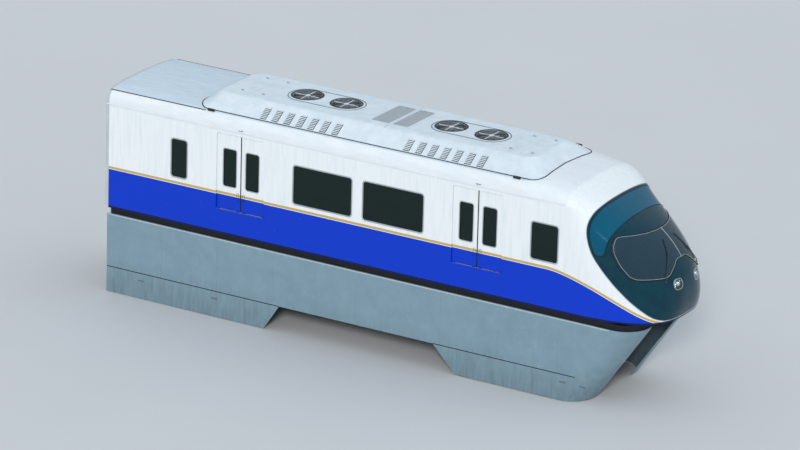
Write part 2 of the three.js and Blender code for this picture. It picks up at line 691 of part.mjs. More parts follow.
// Bogie frame: side beams, cross beams, centre pivot, air springs, legs, motors and collector arms
function bogieFrame() {
  const parts = [];
  const top = 640;
  const bottom = 400;
  const inner = FRAME_HALF;
  const outer = 800;
  for (const x of [-1360, 0, 1360]) {
    const half = x === 0 ? 170 : 60;
    parts.push(box(x - half, x + half, -inner - 10, inner + 10, x === 0 ? 430 : bottom, x === 0 ? 720 : top));
  }
  parts.push(bar("z", 130, 700, FLOOR_BOTTOM - GAP, 0, 0, 20));
  for (const side of [-1, 1]) {
    const span = (a, b) => [Math.min(side * a, side * b), Math.max(side * a, side * b)];
    parts.push(box(-1420, 1420, ...span(inner, outer), bottom, top));
    parts.push(bar("z", 215, top - 10, FLOOR_BOTTOM - 8, 0, side * 900, 24));
    parts.push(box(-240, 240, ...span(outer - 10, 1120), 560, top + 20));
    parts.push(box(-160, 160, ...span(670, 910), STABILIZER.z + 210, bottom + 10));
    for (const end of [-1, 1]) {
      const x = end * GUIDE.x;
      parts.push(box(x - 150, x + 150, ...span(650, 900), GUIDE.z + 220, bottom + 10));
      parts.push(box(end * 520 - 50, end * 520 + 50, ...span(500, 720), -760, -680));
      parts.push(box(end * 520 - 60, end * 520 + 60, ...span(700, 760), -760, bottom + 10));
      parts.push(box(end * 520 - 200, end * 520 + 200, ...span(440, 520), -780, -660));
    }
    const brace = outline([
      [-1000, bottom + 10], [1000, bottom + 10], [1000, bottom - 60], [200, -800], [-200, -800], [-1000, bottom - 60],
    ]);
    const window = outline([[-560, 250], [-190, 250], [-190, -450]]);
    const other = outline([[190, 250], [560, 250], [190, -450]]);
    const [y0, y1] = span(780, 810);
    parts.push(
      sidePlate(brace, y0, y1).subtract(sidePlate(window, y0 - 50, y1 + 50)).subtract(sidePlate(other, y0 - 50, y1 + 50)),
    );
    const motorX = side * 680;
    parts.push(bar("x", 165, motorX - 330, motorX + 330, side * 955, 500, 20));
    parts.push(bar("x", 185, motorX - 60, motorX + 60, side * 955, 500, 20));
  }
  return union(...parts);
}

// Turned profile: pairs of radius and place along the axis, closed on the axis at both ends
function turned(profile, sides) {
  const points = profile.map(([r, a]) => new THREE.Vector2(r, a));
  return new THREE.LatheGeometry(points, sides, Math.PI / sides);
}

// One axle with its twin tyres, rims and brake disc
function wheelset() {
  const end = FRAME_HALF - GAP;
  const rim = 290;
  const half = [];
  const inside = TYRE_Y - TYRE_HALF;
  const outside = TYRE_Y + TYRE_HALF;
  half.push(
    [rim, inside], [TYRE_RADIUS - 50, inside], [TYRE_RADIUS, inside + 45], [TYRE_RADIUS, outside - 45],
    [TYRE_RADIUS - 50, outside], [rim, outside], [120, outside - 60], [120, end],
  );
  const profile = [[0, -end], ...half.map(([r, a]) => [r, -a]).reverse(), ...half, [0, end]];
  return turned(profile, WHEEL_SIDES);
}

// A guide or stabilizing wheel on its spindle, which runs up to the frame
function sideWheel(half, spindle) {
  const r = GUIDE_RADIUS;
  const profile = [
    [0, -half + 40], [r - 140, -half + 40], [r - 120, -half], [r - 35, -half], [r, -half + 35],
    [r, half - 35], [r - 35, half], [r - 120, half], [45, half - 30], [45, spindle], [0, spindle],
  ];
  return turned(profile, GUIDE_SIDES).rotateX(Math.PI / 2);
}

add("underframe", underframe(), "steel");
add("roof", roof(), "white");
add("rear_end_wall", rearEndWall(), "white");
for (const side of ["left", "right"]) {
  add(`side_wall_${side}`, sideWall(side), "white");
  for (const [place, span] of Object.entries(WINDOWS)) {
    add(`window_${place}_${side}`, windowGlass(side, span), "glass");
  }
  for (const [place, centre] of Object.entries(DOORWAYS)) {
    add(`door_${place}_${side}_a`, doorLeaf(side, centre, -1), "white");
    add(`door_${place}_${side}_b`, doorLeaf(side, centre, 1), "white");
  }
}

const shell = noseShell(NOSE_WALL);
const glassShell = noseShell(GLASS);
let mask = shell.intersect(maskRegion(-GAP)).subtract(screenPlate(0)).subtract(visorRegion(0));
for (const side of ["left", "right"]) {
  mask = mask.subtract(lampPlate(side, GAP));
  add(`headlamp_${side}`, shell.intersect(lampPlate(side, 0)), "lamp");
}
add("nose_shell", shell.subtract(maskRegion(0)), "white");
add("nose_mask", mask, "dark");
add("windscreen", glassShell.intersect(screenPlate(PANE_GAP)), "glass");
add("visor_glass", glassShell.intersect(visorRegion(PANE_GAP)), "visor");

const skirts = { upper: upperSkirt(), lower_rear: lowerSkirt("rear"), lower_front: lowerSkirt("front") };
for (const [place, shape] of Object.entries(skirts)) {
  add(`skirt_${place}_left`, shape, "grey");
  add(`skirt_${place}_right`, shape.mirror([0, 1, 0]), "grey");
}
add("roof_fairing", roofFairing(), "white");
add("gangway_bellows", gangwayBellows(), "rubber");
add("coupler", coupler(), "steel");
add("cab_partition", cabPartition(), "white");
add("driver_desk", driverDesk(), "dark");
add("driver_seat", driverSeat(), "fabric");
const benchShape = bench();
add("bench_left", benchShape, "fabric");
add("bench_right", benchShape.mirror([0, 1, 0]), "fabric");
add("grab_rails", grabRails(), "rail");

const frameShape = bogieFrame();
const axleShape = wheelset();
const guideShape = sideWheel(GUIDE.half, 220 - GAP);
const stabilizerShape = sideWheel(STABILIZER.half, 210 - GAP);
for (const [place, x] of [["rear", -BOGIE_X], ["front", BOGIE_X]]) {
  const bogie = new THREE.Group();
  bogie.position.x = x;
  group.add(bogie);
  add(`bogie_frame_${place}`, frameShape, "steel", bogie);
  for (const [end, ahead] of [["a", -1], ["b", 1]]) {
    add(`wheelset_${place}_${end}`, axleShape, "rubber", bogie).position.set(ahead * AXLE_X, 0, AXLE_Z);
    for (const side of ["left", "right"]) {
      add(`guide_wheel_${place}_${side}_${end}`, guideShape, "rubber", bogie)
        .position.set(ahead * GUIDE.x, mirror(side, GUIDE_Y), GUIDE.z);
    }
  }
  for (const side of ["left", "right"]) {
    add(`stabilizer_${place}_${side}`, stabilizerShape, "rubber", bogie)
      .position.set(STABILIZER.x, mirror(side, GUIDE_Y), STABILIZER.z);
  }
}

export default group;
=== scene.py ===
"""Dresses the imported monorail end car: paint, glass, roof units, seats, tyres and small fittings.

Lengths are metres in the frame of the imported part: +X to the nose, +Y to the left, +Z up,
with the origin on the guide beam's top face, midway between the bogies.
"""
import logging
import math
from dataclasses import dataclass
from enum import Enum
from typing import Callable, Iterable

import bmesh
import bpy
from mathutils import Matrix, Vector
from mathutils.bvhtree import BVHTree


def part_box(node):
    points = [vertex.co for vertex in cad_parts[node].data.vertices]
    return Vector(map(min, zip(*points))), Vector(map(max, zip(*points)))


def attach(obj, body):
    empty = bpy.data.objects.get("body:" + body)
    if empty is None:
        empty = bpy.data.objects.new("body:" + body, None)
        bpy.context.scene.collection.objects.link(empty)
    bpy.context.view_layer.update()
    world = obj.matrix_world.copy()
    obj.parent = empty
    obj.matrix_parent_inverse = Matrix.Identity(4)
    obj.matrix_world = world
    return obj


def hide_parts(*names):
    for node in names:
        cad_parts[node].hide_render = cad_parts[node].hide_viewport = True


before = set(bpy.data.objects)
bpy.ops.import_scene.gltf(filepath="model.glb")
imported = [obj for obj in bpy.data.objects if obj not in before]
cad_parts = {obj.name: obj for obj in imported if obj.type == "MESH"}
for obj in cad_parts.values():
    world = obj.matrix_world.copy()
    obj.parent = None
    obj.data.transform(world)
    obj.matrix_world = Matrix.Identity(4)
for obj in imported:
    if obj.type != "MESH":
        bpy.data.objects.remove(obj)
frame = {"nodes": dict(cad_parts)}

log = logging.getLogger("monorail_car")

Pair = tuple[float, float]
Point = tuple[float, float, float]
Color = tuple[float, float, float]
Socket = bpy.types.NodeSocket

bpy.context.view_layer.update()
CAR = "car_body"
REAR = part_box("rear_end_wall")[0].x  # outer face of the rear end wall
HALF_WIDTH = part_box("side_wall_left")[1].y
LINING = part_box("side_wall_left")[0].y  # inner face of a side wall
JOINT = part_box("nose_shell")[0].x  # where the nose meets the straight body
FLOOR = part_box("underframe")[1].z  # top of the floor
DOORWAYS = {"rear": 3.64, "front": 9.82}  # their centres, from the rear end wall


def station(from_rear: float) -> float:
    """Place along the car of a point that far ahead of the rear end wall."""
    return REAR + from_rear


class Side(Enum):
    """The two sides of the car, with the sign of y on each."""

    LEFT = 1
    RIGHT = -1

    @property
    def word(self) -> str:
        """The side's name as the nodes spell it."""
        return self.name.lower()

    @property
    def flip(self) -> Matrix:
        """What puts a piece that is made for the left side on this one."""
        return Matrix.Diagonal((1.0, self.value, 1.0, 1.0))


BOTH = [side.flip for side in Side]


class View(Enum):
    """The plane that an outline is drawn in, before it is given a depth along the third axis."""

    SIDE = "x and z, with depth along +y"
    FRONT = "y and z, with depth along +x"
    PLAN = "x and y, with depth along +z"

    def matrix(self, start: float) -> Matrix:
        """Turns a prism drawn on (a, b) with depth along the third axis into this view.

        Args:
            start: Where the prism begins on its depth axis.

        Returns:
            The matrix that places it.
        """
        if self is View.SIDE:
            return Matrix(((1, 0, 0, 0), (0, 0, 1, start), (0, 1, 0, 0), (0, 0, 0, 1)))
        if self is View.FRONT:
            return Matrix(((0, 0, 1, start), (1, 0, 0, 0), (0, 1, 0, 0), (0, 0, 0, 1)))
        return Matrix.Translation((0, 0, start))


def rounded_rect(low: Pair, high: Pair, radius: float, steps: int = 6) -> list[Pair]:
    """Corners of a rectangle with round corners, counter-clockwise.

    Args:
        low: Lowest corner.
        high: Highest corner.
        radius: Radius of every corner.
        steps: Segments in each corner.

    Returns:
        The outline's points.
    """
    points = []
    corners = ((high[0], high[1]), (low[0], high[1]), (low[0], low[1]), (high[0], low[1]))
    for index, (a, b) in enumerate(corners):
        centre_a = a - radius if a == high[0] else a + radius
        centre_b = b - radius if b == high[1] else b + radius
        for step in range(steps + 1):
            angle = math.pi / 2 * (index + step / steps)
            points.append((centre_a + radius * math.cos(angle), centre_b + radius * math.sin(angle)))
    return points


def circle(radius: float, count: int) -> list[Pair]:
    """Points on a circle about the origin."""
    return [(radius * math.cos(a), radius * math.sin(a)) for a in row(0.0, math.tau / count, count)]


def between(points: list[Pair], value: float) -> float:
    """Reads a broken line at one place.

    Args:
        points: Its (place, value) pairs, in order.
        value: The place.

    Returns:
        The value there, held past both ends.
    """
    if value <= points[0][0]:
        return points[0][1]
    for (a, first), (b, second) in zip(points, points[1:]):
        if value <= b:
            return first + (second - first) * (value - a) / (b - a)
    return points[-1][1]


def row(start: float, step: float, count: int) -> list[float]:
    """Evenly spaced places."""
    return [start + step * index for index in range(count)]


def at(x: float = 0.0, y: float = 0.0, z: float = 0.0) -> Matrix:
    """A matrix that only moves."""
    return Matrix.Translation((x, y, z))


def turn(degrees: float, axis: str) -> Matrix:
    """A matrix that turns about one axis through the origin."""
    return Matrix.Rotation(math.radians(degrees), 4, axis)


def around(count: int, first: float = 0.0) -> list[Matrix]:
    """Turns about the third axis, evenly spread and starting at an angle in degrees."""
    return [turn(360 / count * index + first, "Z") for index in range(count)]


class Shape:
    """A mesh in the making, built up with bmesh operators."""

    def __init__(self) -> None:
        """Starts with an empty mesh."""
        self.bm = bmesh.new()

    @classmethod
    def block(cls, low: Point, high: Point, bevel: float = 0.0, segments: int = 2) -> "Shape":
        """A block between two corners.

        Args:
            low: Its lowest corner.
            high: Its highest corner.
            bevel: How far its edges are rounded.
            segments: Steps in the rounding.

        Returns:
            The block.
        """
        shape = cls()
        bmesh.ops.create_cube(shape.bm, size=1.0)
        lowest, highest = Vector(low), Vector(high)
        size = Matrix.Diagonal((*(highest - lowest), 1.0))
        return shape.move(Matrix.Translation((lowest + highest) / 2) @ size).rounded(bevel, segments)

    @classmethod
    def prism(cls, outline: list[Pair], view: View, start: float, end: float, bevel: float = 0.0) -> "Shape":
        """An outline given a depth.

        Args:
            outline: Points in the view's own plane.
            view: The plane that the outline is drawn in.
            start: Where it begins on the view's depth axis.
            end: Where it ends.
            bevel: How far its edges are rounded.

        Returns:
            A closed shape.
        """
        shape = cls()
        face = shape.bm.faces.new([shape.bm.verts.new((a, b, 0.0)) for a, b in outline])
        return shape._deepened([face], view, start, end, bevel)

    @classmethod
    def ring(
        cls, outer: list[Pair], inner: list[Pair], view: View, start: float, end: float, bevel: float = 0.0
    ) -> "Shape":
        """A flat ring given a depth.

        Args:
            outer: Its outer outline, in the view's own plane.
            inner: Its inner outline, with as many points.
            view: The plane that the outlines are drawn in.
            start: Where it begins on the view's depth axis.
            end: Where it ends.
            bevel: How far its edges are rounded.

        Returns:
            A closed shape.
        """
        shape = cls()
        loops = []
        for outline in (outer, inner):
            corners = [shape.bm.verts.new((a, b, 0.0)) for a, b in outline]
            loops += [shape.bm.edges.new(pair) for pair in zip(corners, corners[1:] + corners[:1])]
        faces = bmesh.ops.bridge_loops(shape.bm, edges=loops)["faces"]
        return shape._deepened(faces, view, start, end, bevel)

    def _deepened(
        self, faces: list[bmesh.types.BMFace], view: View, start: float, end: float, bevel: float
    ) -> "Shape":
        """Gives flat faces a depth and turns them into a view.

        Args:
            faces: Faces on the plane through the origin.
            view: The plane that they are drawn in.
            start: Where the shape begins on the view's depth axis.
            end: Where it ends.
            bevel: How far its edges are rounded.

        Returns:
            This shape.
        """
        grown = bmesh.ops.extrude_face_region(self.bm, geom=faces)["geom"]
        tops = [item for item in grown if isinstance(item, bmesh.types.BMVert)]
        bmesh.ops.translate(self.bm, vec=(0, 0, end - start), verts=tops)
        return self.move(view.matrix(start)).outward().rounded(bevel)

    @classmethod
    def turned(cls, profile: list[Pair], sides: int, closed: bool = False) -> "Shape":
        """A profile turned about the third axis.

        Args:
            profile: Its (radius, height) pairs.
            sides: Steps in a full turn.
            closed: Whether the profile joins up with its start.

        Returns:
            The turned shape.
        """
        shape = cls()
        corners = [shape.bm.verts.new((radius, 0.0, height)) for radius, height in profile]
        pairs = list(zip(corners, corners[1:])) + ([(corners[-1], corners[0])] if closed else [])
        edges = [shape.bm.edges.new(pair) for pair in pairs]
        bmesh.ops.spin(
            shape.bm, geom=corners + edges, cent=(0, 0, 0), axis=(0, 0, 1),
            angle=math.tau, steps=sides, use_merge=True,
        )
        return shape.outward()

    @classmethod
    def rod(
        cls, start: Point, end: Point, radius: float, sides: int = 12, tip: float | None = None,
    ) -> "Shape":
        """A round bar between two points.

        Args:
            start: Middle of its first end.
            end: Middle of its other end.
            radius: Its radius.
            sides: Steps in a full turn.
            tip: The radius at the other end, where it is a cone.

        Returns:
            The bar.
        """
        shape = cls()
        a, b = Vector(start), Vector(end)
        bmesh.ops.create_cone(
            shape.bm, cap_ends=True, segments=sides, radius1=radius,
            radius2=radius if tip is None else tip, depth=(b - a).length,
        )
        way = (b - a).to_track_quat("Z", "Y").to_matrix().to_4x4()
        return shape.move(Matrix.Translation((a + b) / 2) @ way)

    @classmethod
    def pipe(
        cls, points: Iterable[Point], radius: float, resolution: int = 2, closed: bool = False,
    ) -> "Shape":
        """A round pipe that follows a line of points.

        Args:
            points: The line.
            radius: The pipe's radius.
            resolution: Roundness of the pipe's section.
            closed: Whether the line joins up with its start.

        Returns:
            The pipe's shape, with closed ends.
        """
        curve = bpy.data.curves.new("pipe", "CURVE")
        curve.dimensions = "3D"
        curve.bevel_depth = radius
        curve.bevel_resolution = resolution
        curve.use_fill_caps = not closed
        places = [Vector(point) for point in points]
        spline = curve.splines.new("POLY")
        spline.points.add(len(places) - 1)
        for target, place in zip(spline.points, places):
            target.co = (*place, 1.0)
        spline.use_cyclic_u = closed
        maker = bpy.data.objects.new("pipe", curve)
        bpy.context.scene.collection.objects.link(maker)
        shape = cls.of_object(maker)
        bpy.data.objects.remove(maker)
        return shape.outward()

    @classmethod
    def sheet(cls, columns: int, rows: int, place: Callable[[float, float], Vector]) -> "Shape":
        """A grid whose points are put in place by a rule.

        Args:
            columns: Steps along the first share, 0 to 1.
            rows: Steps along the second share, 0 to 1.
            place: Gives the point for the two shares.

        Returns:
            An open sheet with its doubled points merged.
        """
        shape = cls()
        bmesh.ops.create_grid(shape.bm, x_segments=columns, y_segments=rows, size=0.5)
        for corner in shape.bm.verts:
            corner.co = place(corner.co.x + 0.5, corner.co.y + 0.5)
        bmesh.ops.remove_doubles(shape.bm, verts=shape.bm.verts, dist=1e-5)
        return shape

    @classmethod
    def of_object(cls, item: bpy.types.Object) -> "Shape":
        """The shape of an object with its modifiers.

        Args:
            item: The object.

        Returns:
            Its shape, with doubled points merged.
        """
        shape = cls()
        graph = bpy.context.evaluated_depsgraph_get()
        mesh = bpy.data.meshes.new_from_object(item.evaluated_get(graph))
        shape.bm.from_mesh(mesh)
        bpy.data.meshes.remove(mesh)
        bmesh.ops.remove_doubles(shape.bm, verts=shape.bm.verts, dist=1e-5)
        return shape

    def move(self, matrix: Matrix) -> "Shape":
        """Transforms the whole shape."""
        bmesh.ops.transform(self.bm, matrix=matrix, verts=self.bm.verts)
        return self

    def outward(self) -> "Shape":
        """Merges doubled points and turns the faces outwards.

        Returns:
            This shape.
        """
        bmesh.ops.remove_doubles(self.bm, verts=self.bm.verts, dist=1e-6)
        bmesh.ops.recalc_face_normals(self.bm, faces=self.bm.faces)
        return self

    def rounded(self, radius: float, segments: int = 2, angle: float = 30.0) -> "Shape":
        """Rounds the sharp edges.

        Args:
            radius: How far they are rounded.
            segments: Steps in the rounding.
            angle: Edges count as sharp where the faces turn by more than this, in degrees.

        Returns:
            This shape.
        """
        if radius > 0:
            sharp = [edge for edge in self.bm.edges if edge.calc_face_angle(0.0) > math.radians(angle)]
            bmesh.ops.bevel(
                self.bm, geom=sharp, offset=radius, offset_type="OFFSET", segments=segments,
                profile=0.5, affect="EDGES", clamp_overlap=True, material=-1,
            )
        return self

    def add(self, other: "Shape", places: Iterable[Matrix] = (Matrix(),)) -> "Shape":
        """Joins copies of another shape to this one.

        Args:
            other: The shape to copy.
            places: Where a copy goes; a mirrored one is turned the right way out.

        Returns:
            This shape.
        """
        mesh = bpy.data.meshes.new("copy")
        other.bm.to_mesh(mesh)
        for place in places:
            copy = mesh.copy()
            copy.transform(place)
            if place.determinant() < 0:
                copy.flip_normals()
            self.bm.from_mesh(copy)
            bpy.data.meshes.remove(copy)
        bpy.data.meshes.remove(mesh)
        return self

    def placed(self, *places: Matrix) -> "Shape":
        """A new shape with a copy of this one at each place."""
        return Shape().add(self, places)

    def _maker(self) -> bpy.types.Object:
        """A scene object for a short while, with a copy of this mesh.

        Returns:
            The object.
        """
        mesh = bpy.data.meshes.new("maker")
        self.bm.to_mesh(mesh)
        maker = bpy.data.objects.new("maker", mesh)
        bpy.context.scene.collection.objects.link(maker)
        return maker

    def _changed(self, kind: str, **settings: object) -> "Shape":
        """This shape after one modifier.

        Args:
            kind: The modifier's type.
            settings: The modifier's properties.

        Returns:
            The changed shape.
        """
        maker = self._maker()
        modifier = maker.modifiers.new(kind, kind)
        for name, value in settings.items():
            setattr(modifier, name, value)
        made = Shape.of_object(maker)
        bpy.data.objects.remove(maker)
        return made

    def thickened(self, thickness: float, proud: float = 0.0, inner_slot: int = 0) -> "Shape":
        """A sheet given a wall.

        Args:
            thickness: The wall's whole thickness.
            proud: How much of it stands outside the sheet.
            inner_slot: Material slot of the inner face.

        Returns:
            A closed shell.
        """
        offset = 2.0 * proud / thickness - 1.0
        wall = {"use_even_offset": True, "material_offset": inner_slot}
        return self._changed("SOLIDIFY", thickness=thickness, offset=offset, **wall)

    def cut(self, *tools: "Shape") -> "Shape":
        """This shape with the tools' space taken away."""
        return self._combined("DIFFERENCE", *tools)

    def common(self, tool: "Shape") -> "Shape":
        """The space that this shape shares with the tool."""
        return self._combined("INTERSECT", tool)

    def _combined(self, operation: str, *tools: "Shape") -> "Shape":
        """This shape after a boolean modifier with each of the tools.

        Args:
            operation: What the modifiers do.
            tools: The shapes that they use.

        Returns:
            The combined shape.
        """
        made = self
        for tool in tools:
            cutter = tool._maker()
            made = made._changed("BOOLEAN", operation=operation, object=cutter, solver="MANIFOLD")
            bpy.data.objects.remove(cutter)
        return made

    def object(self, name: str, finishes: "Finish | list[Finish]", smooth: float = 35.0) -> bpy.types.Object:
        """Turns the shape into a finished scene object.

        Args:
            name: The object's name.
            finishes: One finish, or one for each material slot.
            smooth: Edges that turn by less than this, in degrees, are shaded smooth.

        Returns:
            The new object.
        """
        many_sided = [face for face in self.bm.faces if len(face.verts) > 4]
        bmesh.ops.triangulate(self.bm, faces=many_sided, ngon_method="EAR_CLIP")
        for face in self.bm.faces:
            face.smooth = True
        for edge in self.bm.edges:
            edge.smooth = edge.calc_face_angle(0.0) < math.radians(smooth)
        mesh = bpy.data.meshes.new(name)
        self.bm.to_mesh(mesh)
        self.bm.free()
        for finish in finishes if isinstance(finishes, list) else [finishes]:
            mesh.materials.append(finish.material())
        item = bpy.data.objects.new(name, mesh)
        bpy.context.scene.collection.objects.link(item)
        item.modifiers.new("Shading", "WEIGHTED_NORMAL").keep_sharp = True
        log.info("%s: %d faces", name, len(mesh.polygons))
        return item

    def piece(
        self, name: str, body: str, finishes: "Finish | list[Finish]", slot: str | None = None,
        smooth: float = 35.0,
    ) -> bpy.types.Object:
        """Turns the shape into a finished piece that rides on a body.

        Args:
            name: The piece's name.
            body: Name of the body that it moves with.
            finishes: One finish, or one for each material slot.
            slot: Not used.
            smooth: Edges that turn by less than this, in degrees, are shaded smooth.

        Returns:
            The new object.
        """
        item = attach(self.object(name, finishes, smooth), body)
        return item


class Wiring:
    """Wires up one node material around its Principled shader."""

    def __init__(self, name: str) -> None:
        """Starts a material with its object coordinates at hand.

        Args:
            name: The material's name.
        """
        self.material = bpy.data.materials.new(name)
        self.material.use_nodes = True
        self.tree = self.material.node_tree
        self.shader = self.tree.nodes["Principled BSDF"]
        coordinates = self.tree.nodes.new("ShaderNodeTexCoord")
        self.place = coordinates.outputs["Object"]

    def feed(self, socket: Socket, value: object) -> None:
        """Links a socket to another one, or sets its own value.

        Args:
            socket: An input.
            value: The output to link, or the number or colour to set.
        """
        if isinstance(value, Socket):
            self.tree.links.new(value, socket)
        elif socket.type == "RGBA":
            socket.default_value = (*value, 1.0)
        else:
            socket.default_value = value

    def node(self, kind: str, values: dict[str | int, object], **settings: object) -> bpy.types.Node:
        """Adds a node.

        Args:
            kind: The node's type.
            values: Value or source of its inputs, by name or number.
            settings: The node's own properties.

        Returns:
            The node.
        """
        made = self.tree.nodes.new(kind)
        for name, value in settings.items():
            setattr(made, name, value)
        for name, value in values.items():
            self.feed(made.inputs[name], value)
        return made

    def shade(self, **values: object) -> None:
        """Feeds the shader's inputs, with underscores for the spaces in their names."""
        for name, value in values.items():
            self.feed(self.shader.inputs[name.replace("_", " ")], value)

    def math(self, operation: str, *values: object) -> Socket:
        """One step of arithmetic."""
        return self.node("ShaderNodeMath", dict(enumerate(values)), operation=operation).outputs[0]

    def axes(self, vector: Socket | None = None) -> tuple[Socket, ...]:
        """The three parts of a vector, by default the place on the object."""
        return tuple(self.node("ShaderNodeSeparateXYZ", {0: vector or self.place}).outputs)

    def scaled(self, scale: Point) -> Socket:
        """The place on the object with each axis scaled."""
        return self.node("ShaderNodeMapping", {"Vector": self.place, "Scale": scale}).outputs[0]

    def noise(self, scale: float, detail: float = 4.0, stretch: Point = (1, 1, 1)) -> Socket:
        """Cloudy noise with that many cells to a metre."""
        values = {"Vector": self.scaled(stretch), "Scale": scale, "Detail": detail, "Roughness": 0.6}
        return self.node("ShaderNodeTexNoise", values).outputs["Fac"]

    def spread(self, value: object, low: float, high: float, start: float = 0.3, end: float = 0.7) -> object:
        """Maps start to end onto low to high, held at both ends."""
        values = {0: value, 1: start, 2: end, 3: low, 4: high}
        return self.node("ShaderNodeMapRange", values, clamp=True).outputs[0]

    def mix(self, share: object, first: object, second: object) -> Socket:
        """A blend of two colours."""
        made = self.node("ShaderNodeMix", {0: share, 6: first, 7: second}, data_type="RGBA")
        return made.outputs[2]

    def bump(self, height: object, strength: float, distance: float = 0.001) -> None:
        """Adds relief to the shader's normal, on top of what it already has.

        Args:
            height: The relief's height.
            strength: Its strength.
            distance: How deep it looks, in metres.
        """
        values = {"Height": height, "Strength": strength, "Distance": distance}
        socket = self.shader.inputs["Normal"]
        if socket.is_linked:
            values["Normal"] = socket.links[0].from_socket
        self.feed(socket, self.node("ShaderNodeBump", values).outputs[0])


@dataclass(frozen=True)
class Finish:
    """A surface with mottled colour, uneven gloss and a fine grain."""

    name: str
    colour: Color
    worn: Color  # colour of the dull patches
    roughness: Pair = (0.30, 0.45)
    scale: float = 5.0  # patches to a metre
    stretch: Point = (1.0, 1.0, 1.0)
    grain: float = 350.0  # grain cells to a metre
    relief: float = 0.08
    metallic: float = 0.0
    coat: float = 0.0
    sheen: float = 0.0
    glint: Color = (1.0, 1.0, 1.0)  # tint of the reflections
    gloss: float = 0.5  # strength of the reflections

    def material(self) -> bpy.types.Material:
        """The finish's material, made once."""
        return bpy.data.materials.get(f"finish_{self.name}") or self._wired()

    def _wired(self) -> bpy.types.Material:
        """Wires up the material.

        Returns:
            The material.
        """
        wiring = Wiring(f"finish_{self.name}")
        patches = wiring.noise(self.scale, 5.0, self.stretch)
        wiring.shade(
            Base_Color=self.base(wiring, patches),
            Roughness=wiring.spread(patches, *self.roughness),
            Metallic=self.metallic,
            Coat_Weight=self.coat,
            Coat_Roughness=0.06,
            Sheen_Weight=self.sheen,
            Specular_Tint=self.glint,
            Specular_IOR_Level=self.gloss,
        )
        self.surface(wiring)
        return wiring.material

    def base(self, wiring: Wiring, patches: Socket) -> Socket:
        """The base colour."""
        return wiring.mix(wiring.spread(patches, 0.0, 1.0), self.colour, self.worn)

    def surface(self, wiring: Wiring) -> None:
        """The relief."""
        wiring.bump(wiring.noise(self.grain, 2.0), self.relief)


@dataclass(frozen=True)
class LiveryPaint(Finish):
    """White body paint with the blue band and the gold line that dip at the nose."""

    lining: Color = (0.66, 0.66, 0.62)
    gold: Color = (0.52, 0.36, 0.10)
    blue: Color = (0.0, 0.036, 0.52)
    navy: Color = (0.004, 0.010, 0.060)
    band_top: float = 1.50
    dip_start: float = station(11.60)
    dip: float = 0.2134
    dip_power: float = 1.60
    navy_top: float = 0.62
    pin_line: float = 0.014
    gold_line: float = 0.055
    lining_edge: float = 1.44  # the lining starts this far from the middle of the car

    def base(self, wiring: Wiring, patches: Socket) -> Socket:
        """White above, then gold, a fine white line, blue and navy, with the lining inside.

        Args:
            wiring: The material's wiring.
            patches: Not used.

        Returns:
            The colour.
        """
        x, y, z = wiring.axes()
        past = wiring.math("MAXIMUM", wiring.math("SUBTRACT", x, self.dip_start), 0.0)
        dip = wiring.math("MULTIPLY", wiring.math("POWER", past, self.dip_power), self.dip)
        above = wiring.math("ADD", wiring.math("SUBTRACT", z, self.band_top), dip)
        streaks = wiring.noise(2.0, 6.0, (6.0, 6.0, 0.5))
        colour = wiring.mix(wiring.spread(streaks, 0.0, 1.0, 0.45, 0.80), self.colour, self.worn)
        for limit, paint in (
            (self.pin_line + self.gold_line, self.gold), (self.pin_line, self.colour), (0.0, self.blue),
        ):
            colour = wiring.mix(wiring.math("LESS_THAN", above, limit), colour, paint)
        colour = wiring.mix(wiring.math("LESS_THAN", z, self.navy_top), colour, self.navy)
        inside = wiring.math("LESS_THAN", wiring.math("ABSOLUTE", y), self.lining_edge)
        return wiring.mix(inside, colour, self.lining)


@dataclass(frozen=True)
class RoofPaint(Finish):
    """Body white on the shoulders and ahead of the fairing, with a painted shade between the roof lines: a
    cooler blue-grey for the sky-lit top.
    """

    # top and top_worn: painted shade, the sky-lit blue-grey of the roof's top.
    top: Color = (0.56, 0.66, 0.74)
    top_worn: Color = (0.48, 0.58, 0.66)
    half: float = 1.352
    ahead: float = station(10.93)

    def base(self, wiring: Wiring, patches: Socket) -> Socket:
        """The white and the painted blue-grey shade, each mottled.

        Args:
            wiring: The material's wiring.
            patches: The noise that mottles it.

        Returns:
            The colour.
        """
        x, y, _ = wiring.axes()
        mottle = wiring.spread(patches, 0.0, 1.0)
        between_lines = wiring.math("LESS_THAN", wiring.math("ABSOLUTE", y), self.half)
        behind = wiring.spread(x, 1.0, 0.0, self.ahead - 0.05, self.ahead + 0.05)
        shoulder = wiring.mix(mottle, self.colour, self.worn)
        middle = wiring.mix(mottle, self.top, self.top_worn)
        return wiring.mix(wiring.math("MULTIPLY", between_lines, behind), shoulder, middle)


@dataclass(frozen=True)
class LowerTonePaint(Finish):
    """Paint that blends into a second tone towards its lower edge: brake dirt on the steel, a darker grey on
    the skirts.
    """

    dirt: Color = (0.10, 0.11, 0.11)
    plain_above: float = -0.60
    full_below: float = -1.50
    dirty: float = 0.8  # the lower tone's share at the lower edge

    def base(self, wiring: Wiring, patches: Socket) -> Socket:
        """The mottled paint with streaks of the lower tone low down.

        Args:
            wiring: The material's wiring.
            patches: The noise that mottles it.

        Returns:
            The colour.
        """
        z = wiring.axes()[2]
        low = wiring.spread(z, self.dirty, 0.06, self.full_below, self.plain_above)
        streaks = wiring.spread(wiring.noise(3.0, 6.0, (4.0, 4.0, 0.5)), 0.35, 1.0, 0.42, 0.75)
        paint = wiring.mix(wiring.spread(patches, 0.0, 1.0), self.colour, self.worn)
        return wiring.mix(wiring.math("MULTIPLY", low, streaks), paint, self.dirt)


@dataclass(frozen=True)
class Glass(Finish):
    """Tinted glass with a faint film of dust."""

    clear: float = 0.85
    ior: float = 1.50

    def surface(self, wiring: Wiring) -> None:
        """A slow ripple, and the glass's own optics."""
        wiring.shade(Transmission_Weight=self.clear, IOR=self.ior)
        wiring.bump(wiring.noise(1.6, 2.0), self.relief, 0.01)


